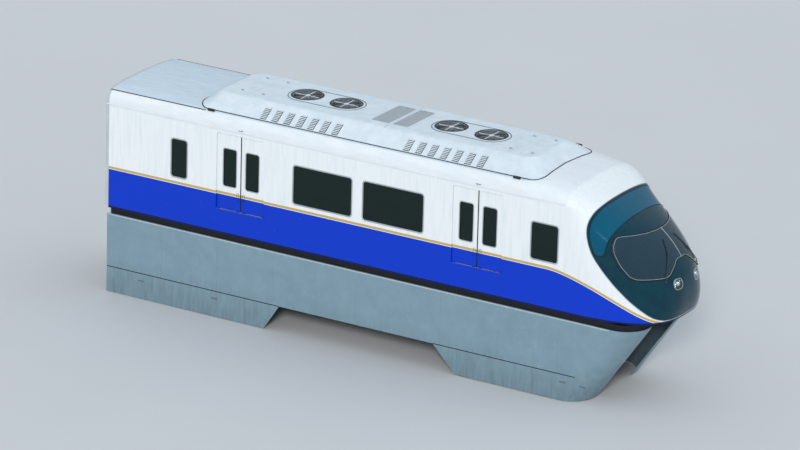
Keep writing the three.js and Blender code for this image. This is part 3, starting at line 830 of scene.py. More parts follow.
@dataclass(frozen=True)
class Cloth(Finish):
    """Woven seat cloth."""

    thread: float = 0.004  # spacing of the threads

    def surface(self, wiring: Wiring) -> None:
        """Threads that cross, with a soft nap over them.

        Args:
            wiring: The material's wiring.
        """
        weave = None
        for direction in ("X", "Y", "Z"):
            values = {"Vector": wiring.place, "Scale": 0.314 / self.thread, "Distortion": 0.4}
            wave = wiring.node("ShaderNodeTexWave", values, bands_direction=direction).outputs["Fac"]
            weave = wave if weave is None else wiring.math("MAXIMUM", weave, wave)
        wiring.bump(weave, 0.5)
        wiring.bump(wiring.noise(self.grain, 2.0), self.relief)


@dataclass(frozen=True)
class Ribbed(Finish):
    """Material with fine ribs along one axis, such as mats, tread plate and cooling fins."""

    pitch: float = 0.02
    along: str = "X"

    def surface(self, wiring: Wiring) -> None:
        """The ribs and the grain.

        Args:
            wiring: The material's wiring.
        """
        values = {"Vector": wiring.place, "Scale": 0.314 / self.pitch}
        ribs = wiring.node("ShaderNodeTexWave", values, bands_direction=self.along).outputs["Fac"]
        wiring.bump(ribs, 0.35, 0.002)
        wiring.bump(wiring.noise(self.grain, 2.0), self.relief)


@dataclass(frozen=True)
class Glow(Finish):
    """A lit diffuser or a lamp."""

    light: float = 2.0

    def surface(self, wiring: Wiring) -> None:
        """The grain, with light of the diffuser's own colour."""
        wiring.shade(Emission_Color=self.colour, Emission_Strength=self.light)
        wiring.bump(wiring.noise(self.grain, 2.0), self.relief)


LIVERY = LiveryPaint(
    "livery_paint", (0.76, 0.80, 0.82), (0.66, 0.71, 0.74), (0.16, 0.28), 3.0, grain=160.0, relief=0.03,
    coat=0.06, gloss=0.22,
)
NOSE_LIVERY = LiveryPaint(
    "nose_livery", (0.74, 0.78, 0.80), (0.66, 0.71, 0.74), (0.14, 0.24), 3.0, grain=160.0, relief=0.03,
    coat=0.06, gloss=0.22, lining_edge=-1.0,
)
# The roof's top between the roof lines gets a painted blue-grey shade.
ROOF_WHITE = RoofPaint(
    "roof_white", (0.74, 0.78, 0.81), (0.67, 0.72, 0.76), (0.24, 0.38), 2.5, (1.0, 3.0, 3.0), 180.0, 0.04,
    coat=0.08, gloss=0.3,
)
UNIT_WHITE = Finish(
    "roof_unit_white", (0.66, 0.735, 0.785), (0.56, 0.64, 0.70), (0.34, 0.50), 3.5, grain=240.0, relief=0.06,
)
# Painted shadow: dark grey on the raised edges round the fan pairs, for the shadow line at their foot.
UNIT_SHADOW_GREY = Finish("roof_unit_grey", (0.15, 0.18, 0.20), (0.22, 0.25, 0.27), (0.45, 0.6), 9.0, relief=0.12)
# Partly painted shade: the plates' darker grey stands for the dip between the two roof units.
SHADED_TREAD_PLATE = Ribbed("tread_plate", (0.30, 0.345, 0.375), (0.36, 0.40, 0.43), (0.45, 0.62), 9.0, pitch=0.035)
# Painted highlight: a light grey for the skirt's top edge, where it catches the light.
SKIRT_HIGHLIGHT = Finish(
    "skirt_highlight", (0.46, 0.54, 0.58), (0.36, 0.43, 0.47), (0.32, 0.5), 9.0, relief=0.05, metallic=0.2,
)
# The skirts turn darker towards the bottom: their lower tone is a darker copy of their grey.
SKIRT_GREY = LowerTonePaint(
    "skirt_grey", (0.210, 0.315, 0.380), (0.180, 0.275, 0.335), (0.30, 0.46), 3.0, grain=200.0, relief=0.06,
    gloss=0.35, dirt=(0.105, 0.150, 0.165), plain_above=-0.5, full_below=-1.3,
)
# Partly painted reflection: the mask is black, and its teal tint stands for the sea mirrored in it.
MASK_DARK = Finish(
    "mask_dark", (0.003, 0.025, 0.040), (0.006, 0.037, 0.054), (0.12, 0.22), 4.0, grain=150.0, relief=0.03,
    glint=(0.40, 0.75, 1.0), gloss=0.35, coat=0.05,
)
# Painted shade: the white rear end wall is given the grey it shows in shade.
END_WALL_SHADE = Finish("end_wall_shade", (0.50, 0.54, 0.57), (0.40, 0.44, 0.47), (0.32, 0.5), 4.0, (1, 4, 0.6), 220.0)
LINING_WHITE = Finish("lining_white", (0.68, 0.67, 0.62), (0.60, 0.59, 0.55), (0.42, 0.58), 4.0, relief=0.1)
WINDOW_GLASS = Glass(
    "window_glass", (0.006, 0.013, 0.012), (0.009, 0.018, 0.017), (0.02, 0.06), 2.0, relief=0.02, clear=0.6,
    glint=(0.6, 0.9, 0.85), gloss=0.3,
)
SCREEN_GLASS = Glass(
    "screen_glass", (0.030, 0.095, 0.150), (0.038, 0.110, 0.170), (0.02, 0.05), 2.0, relief=0.02, clear=0.75,
    glint=(0.7, 0.92, 1.0), gloss=0.75,
)
# Painted reflection: the visor's blue stands for the sky mirrored in its tinted glass.
VISOR_GLASS = Glass(
    "visor_glass", (0.002, 0.080, 0.148), (0.004, 0.094, 0.170), (0.05, 0.10), 2.0, relief=0.02, clear=0.15,
    glint=(0.4, 0.85, 1.0), gloss=0.35,
)
CLEAR_GLASS = Glass(
    "clear_glass", (0.80, 0.90, 0.93), (0.76, 0.86, 0.90), (0.01, 0.05), 3.0, relief=0.02, clear=1.0,
)
MIRROR_METAL = Finish(
    "reflector", (0.90, 0.91, 0.92), (0.82, 0.83, 0.85), (0.05, 0.14), 20.0, metallic=1.0, relief=0.03,
)
LAMP_GLOW = Glow("lamp_glow", (0.92, 0.97, 1.0), (0.80, 0.86, 0.90), (0.2, 0.3), light=1.6)
CEILING_GLOW = Glow("ceiling_glow", (1.0, 0.97, 0.90), (0.95, 0.92, 0.86), (0.4, 0.5), light=1.5)
TAIL_RED = Glass("tail_red", (0.55, 0.015, 0.012), (0.50, 0.02, 0.015), (0.08, 0.16), 9.0, clear=0.3)
SILVER = Finish(
    "frame_silver", (0.62, 0.66, 0.68), (0.50, 0.54, 0.57), (0.26, 0.42), 8.0, (1, 1, 0.4), 500.0,
    metallic=0.85,
)
RUBBER = Finish(
    "gasket_rubber", (0.008, 0.009, 0.011), (0.015, 0.016, 0.018), (0.55, 0.78), 14.0, relief=0.25, gloss=0.3,
)
# Partly painted shade: the steel is darkened to near black to stand for the shade under the body.
STEEL = LowerTonePaint(
    "frame_steel", (0.036, 0.042, 0.050), (0.058, 0.058, 0.058), (0.42, 0.68), 7.0, relief=0.3, gloss=0.35,
    dirt=(0.060, 0.052, 0.042), plain_above=0.9,
)
AXLE_STEEL = Finish(
    "axle_steel", (0.30, 0.31, 0.32), (0.18, 0.16, 0.14), (0.30, 0.55), 12.0, relief=0.2, metallic=0.9,
)
TYRE = Finish("tyre_rubber", (0.017, 0.017, 0.018), (0.045, 0.043, 0.040), (0.60, 0.86), 9.0, relief=0.4)
RIM = Finish(
    "rim_paint", (0.30, 0.31, 0.31), (0.17, 0.16, 0.15), (0.36, 0.60), 14.0, relief=0.2, metallic=0.3,
)
BELLOWS = Finish(
    "bellows_rubber", (0.045, 0.050, 0.055), (0.075, 0.080, 0.084), (0.55, 0.8), 6.0, (1, 3, 0.5), 260.0, 0.3,
)
FAN_DARK = Finish(
    "fan_dark", (0.018, 0.022, 0.026), (0.034, 0.040, 0.045), (0.4, 0.6), 12.0, relief=0.15, metallic=0.3,
)
GUARD = Finish(
    "guard_wire", (0.36, 0.40, 0.43), (0.26, 0.30, 0.33), (0.35, 0.5), 18.0, relief=0.1, metallic=0.6,
)
SEAT_CLOTH = Cloth(
    "seat_cloth", (0.016, 0.075, 0.210), (0.022, 0.095, 0.250), (0.80, 0.95), 24.0, relief=0.3, sheen=0.4,
)
DRIVER_CLOTH = Cloth(
    "driver_cloth", (0.030, 0.034, 0.040), (0.045, 0.050, 0.058), (0.8, 0.95), 24.0, sheen=0.3,
)
SEAT_SHELL = Finish("seat_shell", (0.45, 0.47, 0.48), (0.38, 0.40, 0.42), (0.35, 0.5), 10.0, relief=0.15)
DESK = Finish("desk_plastic", (0.070, 0.080, 0.088), (0.090, 0.100, 0.108), (0.45, 0.62), 10.0, relief=0.35)
SCREEN_OFF = Finish(
    "screen_off", (0.010, 0.013, 0.017), (0.014, 0.018, 0.022), (0.08, 0.16), 8.0, relief=0.01, coat=0.5,
)
BRUSHED = Finish(
    "brushed_rail", (0.66, 0.67, 0.68), (0.56, 0.57, 0.58), (0.18, 0.32), 30.0, (0.2, 1, 1), 700.0,
    metallic=1.0,
)
VINYL = Ribbed("floor_vinyl", (0.130, 0.150, 0.160), (0.170, 0.190, 0.200), (0.45, 0.65), 16.0, pitch=0.03)
MAT = Ribbed("step_mat", (0.035, 0.037, 0.040), (0.055, 0.057, 0.060), (0.6, 0.8), 16.0, pitch=0.012)
STUDIO_FLOOR = Finish(
    "studio_floor", (0.60, 0.61, 0.62), (0.57, 0.58, 0.59), (0.75, 0.85), 0.08, grain=3.0, relief=0.02,
)


def copied(node: str) -> Shape:
    """A merged copy of a CAD node, with its flat faces joined up.

    Args:
        node: The node's name.

    Returns:
        The copy.
    """
    shape = Shape.of_object(frame["nodes"][node])
    bmesh.ops.dissolve_limit(
        shape.bm, angle_limit=math.radians(0.4), verts=shape.bm.verts, edges=shape.bm.edges,
        use_dissolve_boundaries=False,
    )
    return shape.outward()


def remade(
    node: str, body: str, finish: Finish, slot: str | None = None, bevel: float = 0.005,
) -> bpy.types.Object:
    """Puts a piece with rounded edges and smooth curves in a CAD node's place.

    Args:
        node: The node that it stands in for; the piece takes its name with _made after it.
        body: The body that the node belongs to.
        finish: The piece's finish.
        slot: The record's material slot.
        bevel: How far the sharp edges are rounded.

    Returns:
        The new piece.
    """
    item = copied(node).rounded(bevel, 2, 28.0).piece(f"{node}_made", body, finish, slot, 40.0)
    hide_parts(node)
    return item


@dataclass
class Studio:
    """A pale floor, soft light and a long lens, seen from the photograph's direction."""

    eye: Point = (60.846, -101.593, 43.119)
    target: Point = (0.16, 0.0, 1.13)
    roll: float = 1.58  # degrees
    lens: float = 252.0  # millimetres
    floor_radius: float = 170.0
    floor_height: float = -1.475

    def build(self) -> None:
        """Makes the camera, the floor and the lights."""
        self._camera()
        floor = Shape()
        bmesh.ops.create_circle(floor.bm, cap_ends=True, segments=96, radius=self.floor_radius)
        floor.move(at(z=self.floor_height))
        floor.object("studio_floor", STUDIO_FLOOR)
        self._sun("key_light", (40.0, -80.0, 44.0), 2.0, 12.0, (1.0, 0.985, 0.96))
        self._sun("fill_light", (60.0, 40.0, 60.0), 0.4, 60.0, (0.90, 0.95, 1.0))
        self._sky()

    def _camera(self) -> None:
        """Places the camera."""
        data = bpy.data.cameras.new("camera")
        data.lens = self.lens
        data.clip_end = 1000.0
        data.dof.use_dof = False
        camera = bpy.data.objects.new("camera", data)
        camera.location = self.eye
        sight = (Vector(self.target) - Vector(self.eye)).to_track_quat("-Z", "Y").to_matrix().to_4x4()
        camera.rotation_euler = (sight @ turn(self.roll, "Z")).to_euler()
        bpy.context.scene.collection.objects.link(camera)
        bpy.context.scene.camera = camera

    def _sun(self, name: str, source: Point, strength: float, spread: float, colour: Color) -> None:
        """Adds a soft sun.

        Args:
            name: The light's name.
            source: Direction that the light comes from.
            strength: Its strength.
            spread: Its apparent size, in degrees.
            colour: Its colour.
        """
        data = bpy.data.lights.new(name, "SUN")
        data.energy = strength
        data.angle = math.radians(spread)
        data.color = colour
        light = bpy.data.objects.new(name, data)
        light.rotation_euler = (-Vector(source)).to_track_quat("-Z", "Y").to_euler()
        light.visible_glossy = False
        bpy.context.scene.collection.objects.link(light)

    def _sky(self) -> None:
        """A pale sky, brighter overhead than at the horizon."""
        world = bpy.data.worlds.new("studio_sky")
        world.use_nodes = True
        tree = world.node_tree
        place = tree.nodes.new("ShaderNodeTexCoord").outputs["Generated"]
        split = tree.nodes.new("ShaderNodeSeparateXYZ")
        ramp = tree.nodes.new("ShaderNodeValToRGB")
        low, high = ramp.color_ramp.elements
        low.position, low.color = 0.0, (0.62, 0.66, 0.70, 1.0)
        high.position, high.color = 0.8, (0.80, 0.90, 1.0, 1.0)
        tree.links.new(place, split.inputs[0])
        tree.links.new(split.outputs["Z"], ramp.inputs[0])
        tree.links.new(ramp.outputs[0], tree.nodes["Background"].inputs["Color"])
        tree.nodes["Background"].inputs["Strength"].default_value = 0.77
        bpy.context.scene.world = world
        bpy.context.scene.view_settings.view_transform = "Standard"


@dataclass
class Arch:
    """The roof's cross-section: a soft shoulder above each rain gutter, and a low crown."""

    straight: tuple[Pair, ...] = (
        (1.490, 3.010), (1.490, 3.120), (1.455, 3.250), (1.370, 3.350), (1.220, 3.405), (0.820, 3.447),
        (0.0, 3.470),
    )
    at_nose: tuple[Pair, ...] = (
        (1.490, 3.010), (1.470, 3.080), (1.400, 3.170), (1.290, 3.240), (1.130, 3.295), (0.760, 3.355),
        (0.0, 3.385),
    )
    taper: float = station(10.9)

    def point(self, x: float, across: float) -> Vector:
        """A point on the roof.

        Args:
            x: Place along the car.
            across: 0 at the right gutter, 1 at the left one.

        Returns:
            The point.
        """
        share = min(max((x - self.taper) / (JOINT - self.taper), 0.0), 1.0)
        side = 1.0 if across > 0.5 else -1.0
        part = (1.0 - abs(2.0 * across - 1.0)) * (len(self.straight) - 1)
        half, height = smooth_through(
            [
                (a[0] + (b[0] - a[0]) * share, a[1] + (b[1] - a[1]) * share)
                for a, b in zip(self.straight, self.at_nose)
            ],
            part,
        )
        return Vector((x, side * max(half, 0.0), height))


def smooth_through(points: list[tuple[float, ...]], part: float) -> tuple[float, ...]:
    """A point on the smooth curve through a list of points.

    Args:
        points: The list, of points with any number of parts.
        part: 0 at the first point, 1 at the second, and so on.

    Returns:
        The point there.
    """
    index = min(int(part), len(points) - 2)
    t = part - index
    b, c = points[index], points[index + 1]
    a = points[index - 1] if index else b
    d = points[index + 2] if index + 2 < len(points) else c
    return tuple(
        q + 0.5 * t * (r - p + t * (2 * p - 5 * q + 4 * r - s + t * (3 * (q - r) + s - p)))
        for p, q, r, s in zip(a, b, c, d)
    )


@dataclass
class BodyShell:
    """The straight part of the body: walls, roof, gutters and the two ends."""

    ceiling: float = 0.075  # thickness of the roof with its ceiling
    gutter_height: float = 3.045
    gutter: Pair = (0.012, 0.030)  # how far it stands out, and its height
    rail: tuple[Pair, ...] = ((0.01, 1.35), (-0.07, 1.40), (-0.07, 2.45), (0.01, 2.50))  # x, z
    rail_y: float = 1.20
    socket_y: float = 0.52
    socket_heights: Pair = (0.74, 0.90)
    lamp: Pair = (1.15, 2.78)  # y and z of a marker lamp

    def build(self) -> None:
        """Makes every piece of the shell."""
        for side in Side:
            remade(f"side_wall_{side.word}", CAR, LIVERY, "body_white", 0.004)
        # The rear end wall's grey is painted shade.
        remade("rear_end_wall", CAR, END_WALL_SHADE, "body_white", 0.006)
        remade("cab_partition", CAR, LINING_WHITE, "body_white", 0.004)
        self._roof()
        self._gutters()
        self._end_fittings()
        self._side_lamps()

    def _roof(self) -> None:
        """The roof with its ceiling below."""
        arch = Arch()
        low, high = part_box("roof")
        sheet = Shape.sheet(60, 96, lambda u, v: arch.point(low.x + (high.x - low.x) * u, v))
        bmesh.ops.recalc_face_normals(sheet.bm, faces=sheet.bm.faces)
        shell = sheet.thickened(self.ceiling, 0.0, 1)
        roof = shell.piece("roof_made", CAR, [ROOF_WHITE, LINING_WHITE], "body_white")
        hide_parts("roof")

    def _gutters(self) -> None:
        """A rain gutter along the top of each wall."""
        out, tall = self.gutter
        low = (station(0.02), HALF_WIDTH - 0.004, self.gutter_height)
        high = (JOINT - 0.01, HALF_WIDTH + out, self.gutter_height + tall)
        Shape.block(low, high, 0.004).placed(*BOTH).piece("rain_gutters", CAR, ROOF_WHITE)

    def _end_fittings(self) -> None:
        """Handrails, marker lamps and jumper sockets on the rear end wall."""
        face = REAR - 0.001
        rails, sockets, lamps, rims = Shape(), Shape(), Shape(), Shape()
        socket = Shape.turned([(0.0, 0.0), (0.075, 0.0), (0.075, 0.045), (0.055, 0.060), (0.0, 0.060)], 20)
        lens = Shape.prism(rounded_rect((-0.10, -0.06), (0.10, 0.06), 0.05), View.FRONT, -0.03, 0.004, 0.006)
        outer = rounded_rect((-0.125, -0.085), (0.125, 0.085), 0.07)
        inner = rounded_rect((-0.098, -0.058), (0.098, 0.058), 0.048)
        ring = Shape.ring(outer, inner, View.FRONT, -0.022, 0.004, 0.004)
        for side in Side:
            rails.add(Shape.pipe([(face + x, side.value * self.rail_y, z) for x, z in self.rail], 0.014, 3))
            spots = [at(face + 0.004, side.value * self.socket_y, z) for z in self.socket_heights]
            sockets.add(socket, [spot @ turn(-90, "Y") for spot in spots])
            lamp = at(face, side.value * self.lamp[0], self.lamp[1])
            lamps.add(lens, [lamp])
            rims.add(ring, [lamp])
        rails.piece("rear_handrails", CAR, BRUSHED)
        sockets.piece("jumper_sockets", CAR, RUBBER)
        lamps.piece("rear_marker_lamps", CAR, TAIL_RED, "lamp")
        rims.piece("rear_lamp_rims", CAR, SILVER)

    def _side_lamps(self) -> None:
        """A door lamp with a small hood above each doorway."""
        lamps, hoods = Shape(), Shape()
        y = HALF_WIDTH
        for x in map(station, DOORWAYS.values()):
            lamps.add(Shape.block((x - 0.055, y - 0.006, 3.085), (x + 0.055, y + 0.010, 3.115), 0.006), BOTH)
            hoods.add(Shape.block((x - 0.09, y, 3.118), (x + 0.09, y + 0.016, 3.126), 0.003), BOTH)
        lamps.piece("door_lamps", CAR, CLEAR_GLASS)
        hoods.piece("door_lamp_hoods", CAR, ROOF_WHITE)


@dataclass(frozen=True)
class Opening:
    """A cut in the side wall, seen from the side."""

    start: float
    end: float
    sill: float
    top: float
    corner: float

    def outline(self, grown: float, steps: int = 7) -> list[Pair]:
        """The opening's edge, moved outwards.

        Args:
            grown: How far it is moved.
            steps: Segments in each corner.

        Returns:
            The outline's points.
        """
        low = (self.start - grown, self.sill - grown)
        high = (self.end + grown, self.top + grown)
        return rounded_rect(low, high, self.corner + grown, steps)

    def ring(
        self, outer: float, inner: float, start: float, end: float, bevel: float, view: View = View.SIDE
    ) -> Shape:
        """A flat ring that follows the opening's edge.

        Args:
            outer: How far outside the opening its outer edge is.
            inner: How far outside the opening its inner edge is.
            start: Where it begins on the view's depth axis.
            end: Where it ends.
            bevel: How far its edges are rounded.
            view: The plane that the opening lies in.

        Returns:
            The ring.
        """
        return Shape.ring(self.outline(outer), self.outline(inner), view, start, end, bevel)


@dataclass
class SideWindows:
    """Panes with a thin bright frame and a black gasket in each side wall."""

    sill: float = 1.68
    corner: float = 0.06
    spans: tuple[tuple[str, float, float, float], ...] = (
        ("rear", 1.79, 2.20, 2.57), ("middle_rear", 5.05, 6.57, 2.57),
        ("middle_front", 6.88, 8.43, 2.57), ("front", 11.19, 11.85, 2.52),
    )

    def build(self) -> None:
        """Makes panes, frames, gaskets and roller blinds."""
        frames, gaskets, blinds = Shape(), Shape(), Shape()
        for name, start, end, top in self.spans:
            opening = Opening(station(start), station(end), self.sill, top, self.corner)
            for side in Side:
                node = f"window_{name}_{side.word}"
                pane = copied(node).rounded(0.002).piece(f"{node}_made", CAR, WINDOW_GLASS, "window_glass")
                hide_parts(node)
            frames.add(opening.ring(0.030, 0.002, 1.482, 1.4945, 0.003), BOTH)
            gaskets.add(opening.ring(0.0015, -0.018, 1.4805, 1.4885, 0.003), BOTH)
            gaskets.add(opening.ring(0.0, -0.020, 1.4635, 1.4695, 0.002), BOTH)
            if name != "front":
                blinds.add(self._blind(opening), BOTH)
        frames.piece("window_frames", CAR, SILVER)
        gaskets.piece("window_gaskets", CAR, RUBBER)
        blinds.piece("blind_boxes", CAR, LINING_WHITE)

    def _blind(self, opening: Opening) -> Shape:
        """The roller box inside, above a pane, with its pull bar.

        Args:
            opening: The window that it belongs to.

        Returns:
            The box and the bar.
        """
        start, end, top = opening.start, opening.end, opening.top
        box = Shape.block((start, 1.325, top + 0.02), (end, LINING - 0.001, top + 0.10), 0.01)
        return box.add(Shape.rod((start + 0.03, 1.372, top - 0.02), (end - 0.03, 1.372, top - 0.02), 0.01))


@dataclass
class SlidingDoors:
    """Leaves with their panes and seals, and the jambs and sills of each doorway."""

    half: float = 0.64
    bottom: float = 1.15
    top: float = 2.96
    leaf_outer: float = 1.457
    hole: tuple[float, float, float, float] = (0.130, 0.470, 1.720, 2.600)  # near, far, low and high edge

    def build(self) -> None:
        """Makes the four leaves of each side and what surrounds them."""
        jambs, sills = Shape(), Shape()
        for place, middle in DOORWAYS.items():
            centre = station(middle)
            for side in Side:
                for leaf, along in (("a", -1), ("b", 1)):
                    self._leaf(place, centre, side, leaf, along)
            start, end = centre - self.half, centre + self.half
            opening = Opening(start, end, self.bottom, self.top, 0.04)
            jambs.add(opening.ring(0.035, 0.001, 1.489, 1.4935, 0.002), BOTH)
            sills.add(
                Shape.block((start + 0.01, 1.315, FLOOR), (end - 0.01, 1.405, FLOOR + 0.006), 0.002), BOTH,
            )
            sills.add(Shape.block((start + 0.005, 1.4665, 1.1515), (end - 0.005, 1.489, 1.157), 0.002), BOTH)
        jambs.piece("door_jambs", CAR, LIVERY)
        sills.piece("door_sills", CAR, BRUSHED)

    def _leaf(self, place: str, centre: float, side: Side, leaf: str, along: int) -> None:
        """One leaf: its panel, pane, gasket, edge seal and hand grip.

        Args:
            place: Which doorway.
            centre: Middle of the doorway.
            side: Which side of the car.
            leaf: Letter of the leaf.
            along: Sign of x on which the leaf lies from the middle.
        """
        name = f"{place}_{side.word}_{leaf}"
        body = f"leaf_{name}"
        face = self.leaf_outer
        remade(f"door_{name}", body, LIVERY, "body_white", 0.003)
        near, far, low, high = self.hole
        ends = sorted((centre + along * near, centre + along * far))
        window = Opening(ends[0], ends[1], low, high, 0.05)
        pane = Shape.prism(window.outline(-0.0008), View.SIDE, 1.4355, 1.4445, 0.002)
        pane.placed(side.flip).piece(f"door_pane_{name}", body, WINDOW_GLASS, "window_glass")
        rim = window.ring(0.022, 0.0, 1.4565, 1.4595, 0.0012)
        rim.placed(side.flip).piece(f"door_rim_{name}", body, SILVER)
        seals = window.ring(-0.0005, -0.014, 1.4450, 1.4560, 0.002)
        seals.add(window.ring(-0.0005, -0.014, 1.4240, 1.4350, 0.002))
        edge = centre + along * 0.0015
        inner, outer = sorted((edge, edge + along * 0.012))
        seals.add(Shape.block((inner, face - 0.002, 1.166), (outer, face + 0.0025, 2.966), 0.001))
        grip = centre + along * 0.075
        grip_outer = rounded_rect((grip - 0.030, 1.42), (grip + 0.030, 1.60), 0.028)
        grip_inner = rounded_rect((grip - 0.022, 1.428), (grip + 0.022, 1.592), 0.020)
        seals.add(Shape.ring(grip_outer, grip_inner, View.SIDE, face - 0.001, face + 0.0025, 0.001))
        seals.placed(side.flip).piece(f"door_seals_{name}", body, RUBBER)


@dataclass(frozen=True)
class Level:
    """One height line round the nose, from gutter to gutter."""

    half: float  # half width at the joint
    side: float  # height at the joint
    reach: float  # how far ahead of the rear end wall it goes
    front: float  # height at its front
    blunt: float  # 2 is an ellipse in plan, more is squarer


NOSE_LEVELS = (
    Level(1.49, 0.57, 14.27, 0.57, 3.0), Level(1.49, 0.80, 14.33, 0.80, 2.9),
    Level(1.49, 1.06, 14.35, 1.06, 2.75), Level(1.49, 1.36, 14.33, 1.36, 2.5),
    Level(1.49, 1.69, 14.22, 1.69, 2.3), Level(1.49, 2.03, 14.0, 2.04, 2.15),
    Level(1.49, 2.37, 13.68, 2.36, 2.05), Level(1.49, 2.70, 13.27, 2.64, 2.0),
    Level(1.49, 3.01, 12.90, 2.86, 2.0), Level(1.47, 3.08, 12.78, 2.94, 2.0),
    Level(1.40, 3.17, 12.62, 3.04, 2.0), Level(1.29, 3.24, 12.46, 3.13, 2.0),
    Level(1.13, 3.295, 12.32, 3.21, 2.0), Level(0.76, 3.355, 12.14, 3.32, 2.0),
    Level(0.0, 3.385, 12.0, 3.385, 2.0),
)


class NoseSkin:
    """The nose's outer surface, and the places where a straight line meets it."""

    def __init__(self) -> None:
        """Makes the surface and the tree that finds places on it."""
        self.sheet = Shape.sheet(88, 98, lambda u, v: self._point(v, u))
        bmesh.ops.recalc_face_normals(self.sheet.bm, faces=self.sheet.bm.faces)
        front = max(self.sheet.bm.faces, key=lambda face: face.calc_center_median().x)
        if front.normal.x < 0:
            bmesh.ops.reverse_faces(self.sheet.bm, faces=self.sheet.bm.faces)
        bmesh.ops.triangulate(self.sheet.bm, faces=self.sheet.bm.faces)  # flat faces are cut cleanly
        self.tree = BVHTree.FromBMesh(self.sheet.bm)

    def _point(self, along: float, up: float) -> Vector:
        """A point on the surface.

        Args:
            along: 0 at the left end of a height line, 1 at the right end.
            up: 0 at the lowest line, 1 at the crown.

        Returns:
            The point.
        """
        lines = [(one.half, one.side, one.reach, one.front, one.blunt) for one in NOSE_LEVELS]
        half, side, reach, front, blunt = smooth_through(lines, up * (len(lines) - 1))
        angle = math.pi * along
        ahead = max(math.sin(angle), 0.0) ** (2.0 / blunt)
        across = math.copysign(abs(math.cos(angle)) ** (2.0 / blunt), math.cos(angle))
        x = JOINT + (station(reach) - JOINT) * ahead
        return Vector((x, min(half, HALF_WIDTH) * across, side + (front - side) * ahead))

    def from_side(self, x: float, z: float, side: Side, proud: float = 0.0) -> Vector | None:
        """The place where a line across the car meets one side, moved outwards by proud."""
        return self._meet(Vector((x, side.value * 3.0, z)), Vector((0, -side.value, 0)), proud)

    def from_above(self, x: float, y: float) -> Vector | None:
        """The place where an upright line meets the top."""
        return self._meet(Vector((x, y, 5.0)), Vector((0, 0, -1)), 0.0)

    def from_front(self, y: float, z: float, proud: float = 0.0) -> Vector | None:
        """The place where a line along the car meets the front, moved outwards by proud."""
        return self._meet(Vector((station(16.0), y, z)), Vector((-1, 0, 0)), proud)

    def _meet(self, start: Vector, way: Vector, proud: float) -> Vector | None:
        """The first place on the surface along a line.

        Args:
            start: Where the line starts.
            way: Its direction.
            proud: How far outside the surface the place is put.

        Returns:
            The place, or None where the line misses.
        """
        place, normal, _, _ = self.tree.ray_cast(start, way)
        if place is None:
            return None
        return place + normal * (proud if normal.dot(way) < 0 else -proud)


def densified(points: list[Pair], step: float, closed: bool = False) -> list[Pair]:
    """A broken line with more points.

    Args:
        points: The line.
        step: Longest distance between its new points.
        closed: Whether the line joins up with its start.

    Returns:
        The line with its new points.
    """
    made = []
    ends = points + points[:1] if closed else points
    for (a, b), (c, d) in zip(ends, ends[1:]):
        count = max(1, math.ceil(math.hypot(c - a, d - b) / step))
        made += [(a + (c - a) * i / count, b + (d - b) * i / count) for i in range(count)]
    return made if closed else made + [points[-1]]


def softened(points: list[Pair], reach: float, closed: bool = False, steps: int = 5) -> list[Pair]:
    """A broken line with its corners rounded.

    Args:
        points: The line.
        reach: How far from a corner its rounding starts, at most.
        closed: Whether the line joins up with its start.
        steps: Points in each rounding.

    Returns:
        The rounded line.
    """
    made = [] if closed else [points[0]]
    count = len(points)
    for index in range(0 if closed else 1, count if closed else count - 1):
        before, corner, after = (Vector(points[(index + shift) % count]) for shift in (-1, 0, 1))
        start = corner + (before - corner).normalized() * min(reach, (before - corner).length * 0.45)
        end = corner + (after - corner).normalized() * min(reach, (after - corner).length * 0.45)
        for step in range(steps + 1):
            t = step / steps
            made.append(tuple(start * (1 - t) ** 2 + corner * 2 * t * (1 - t) + end * t * t))
    return made if closed else made + [points[-1]]


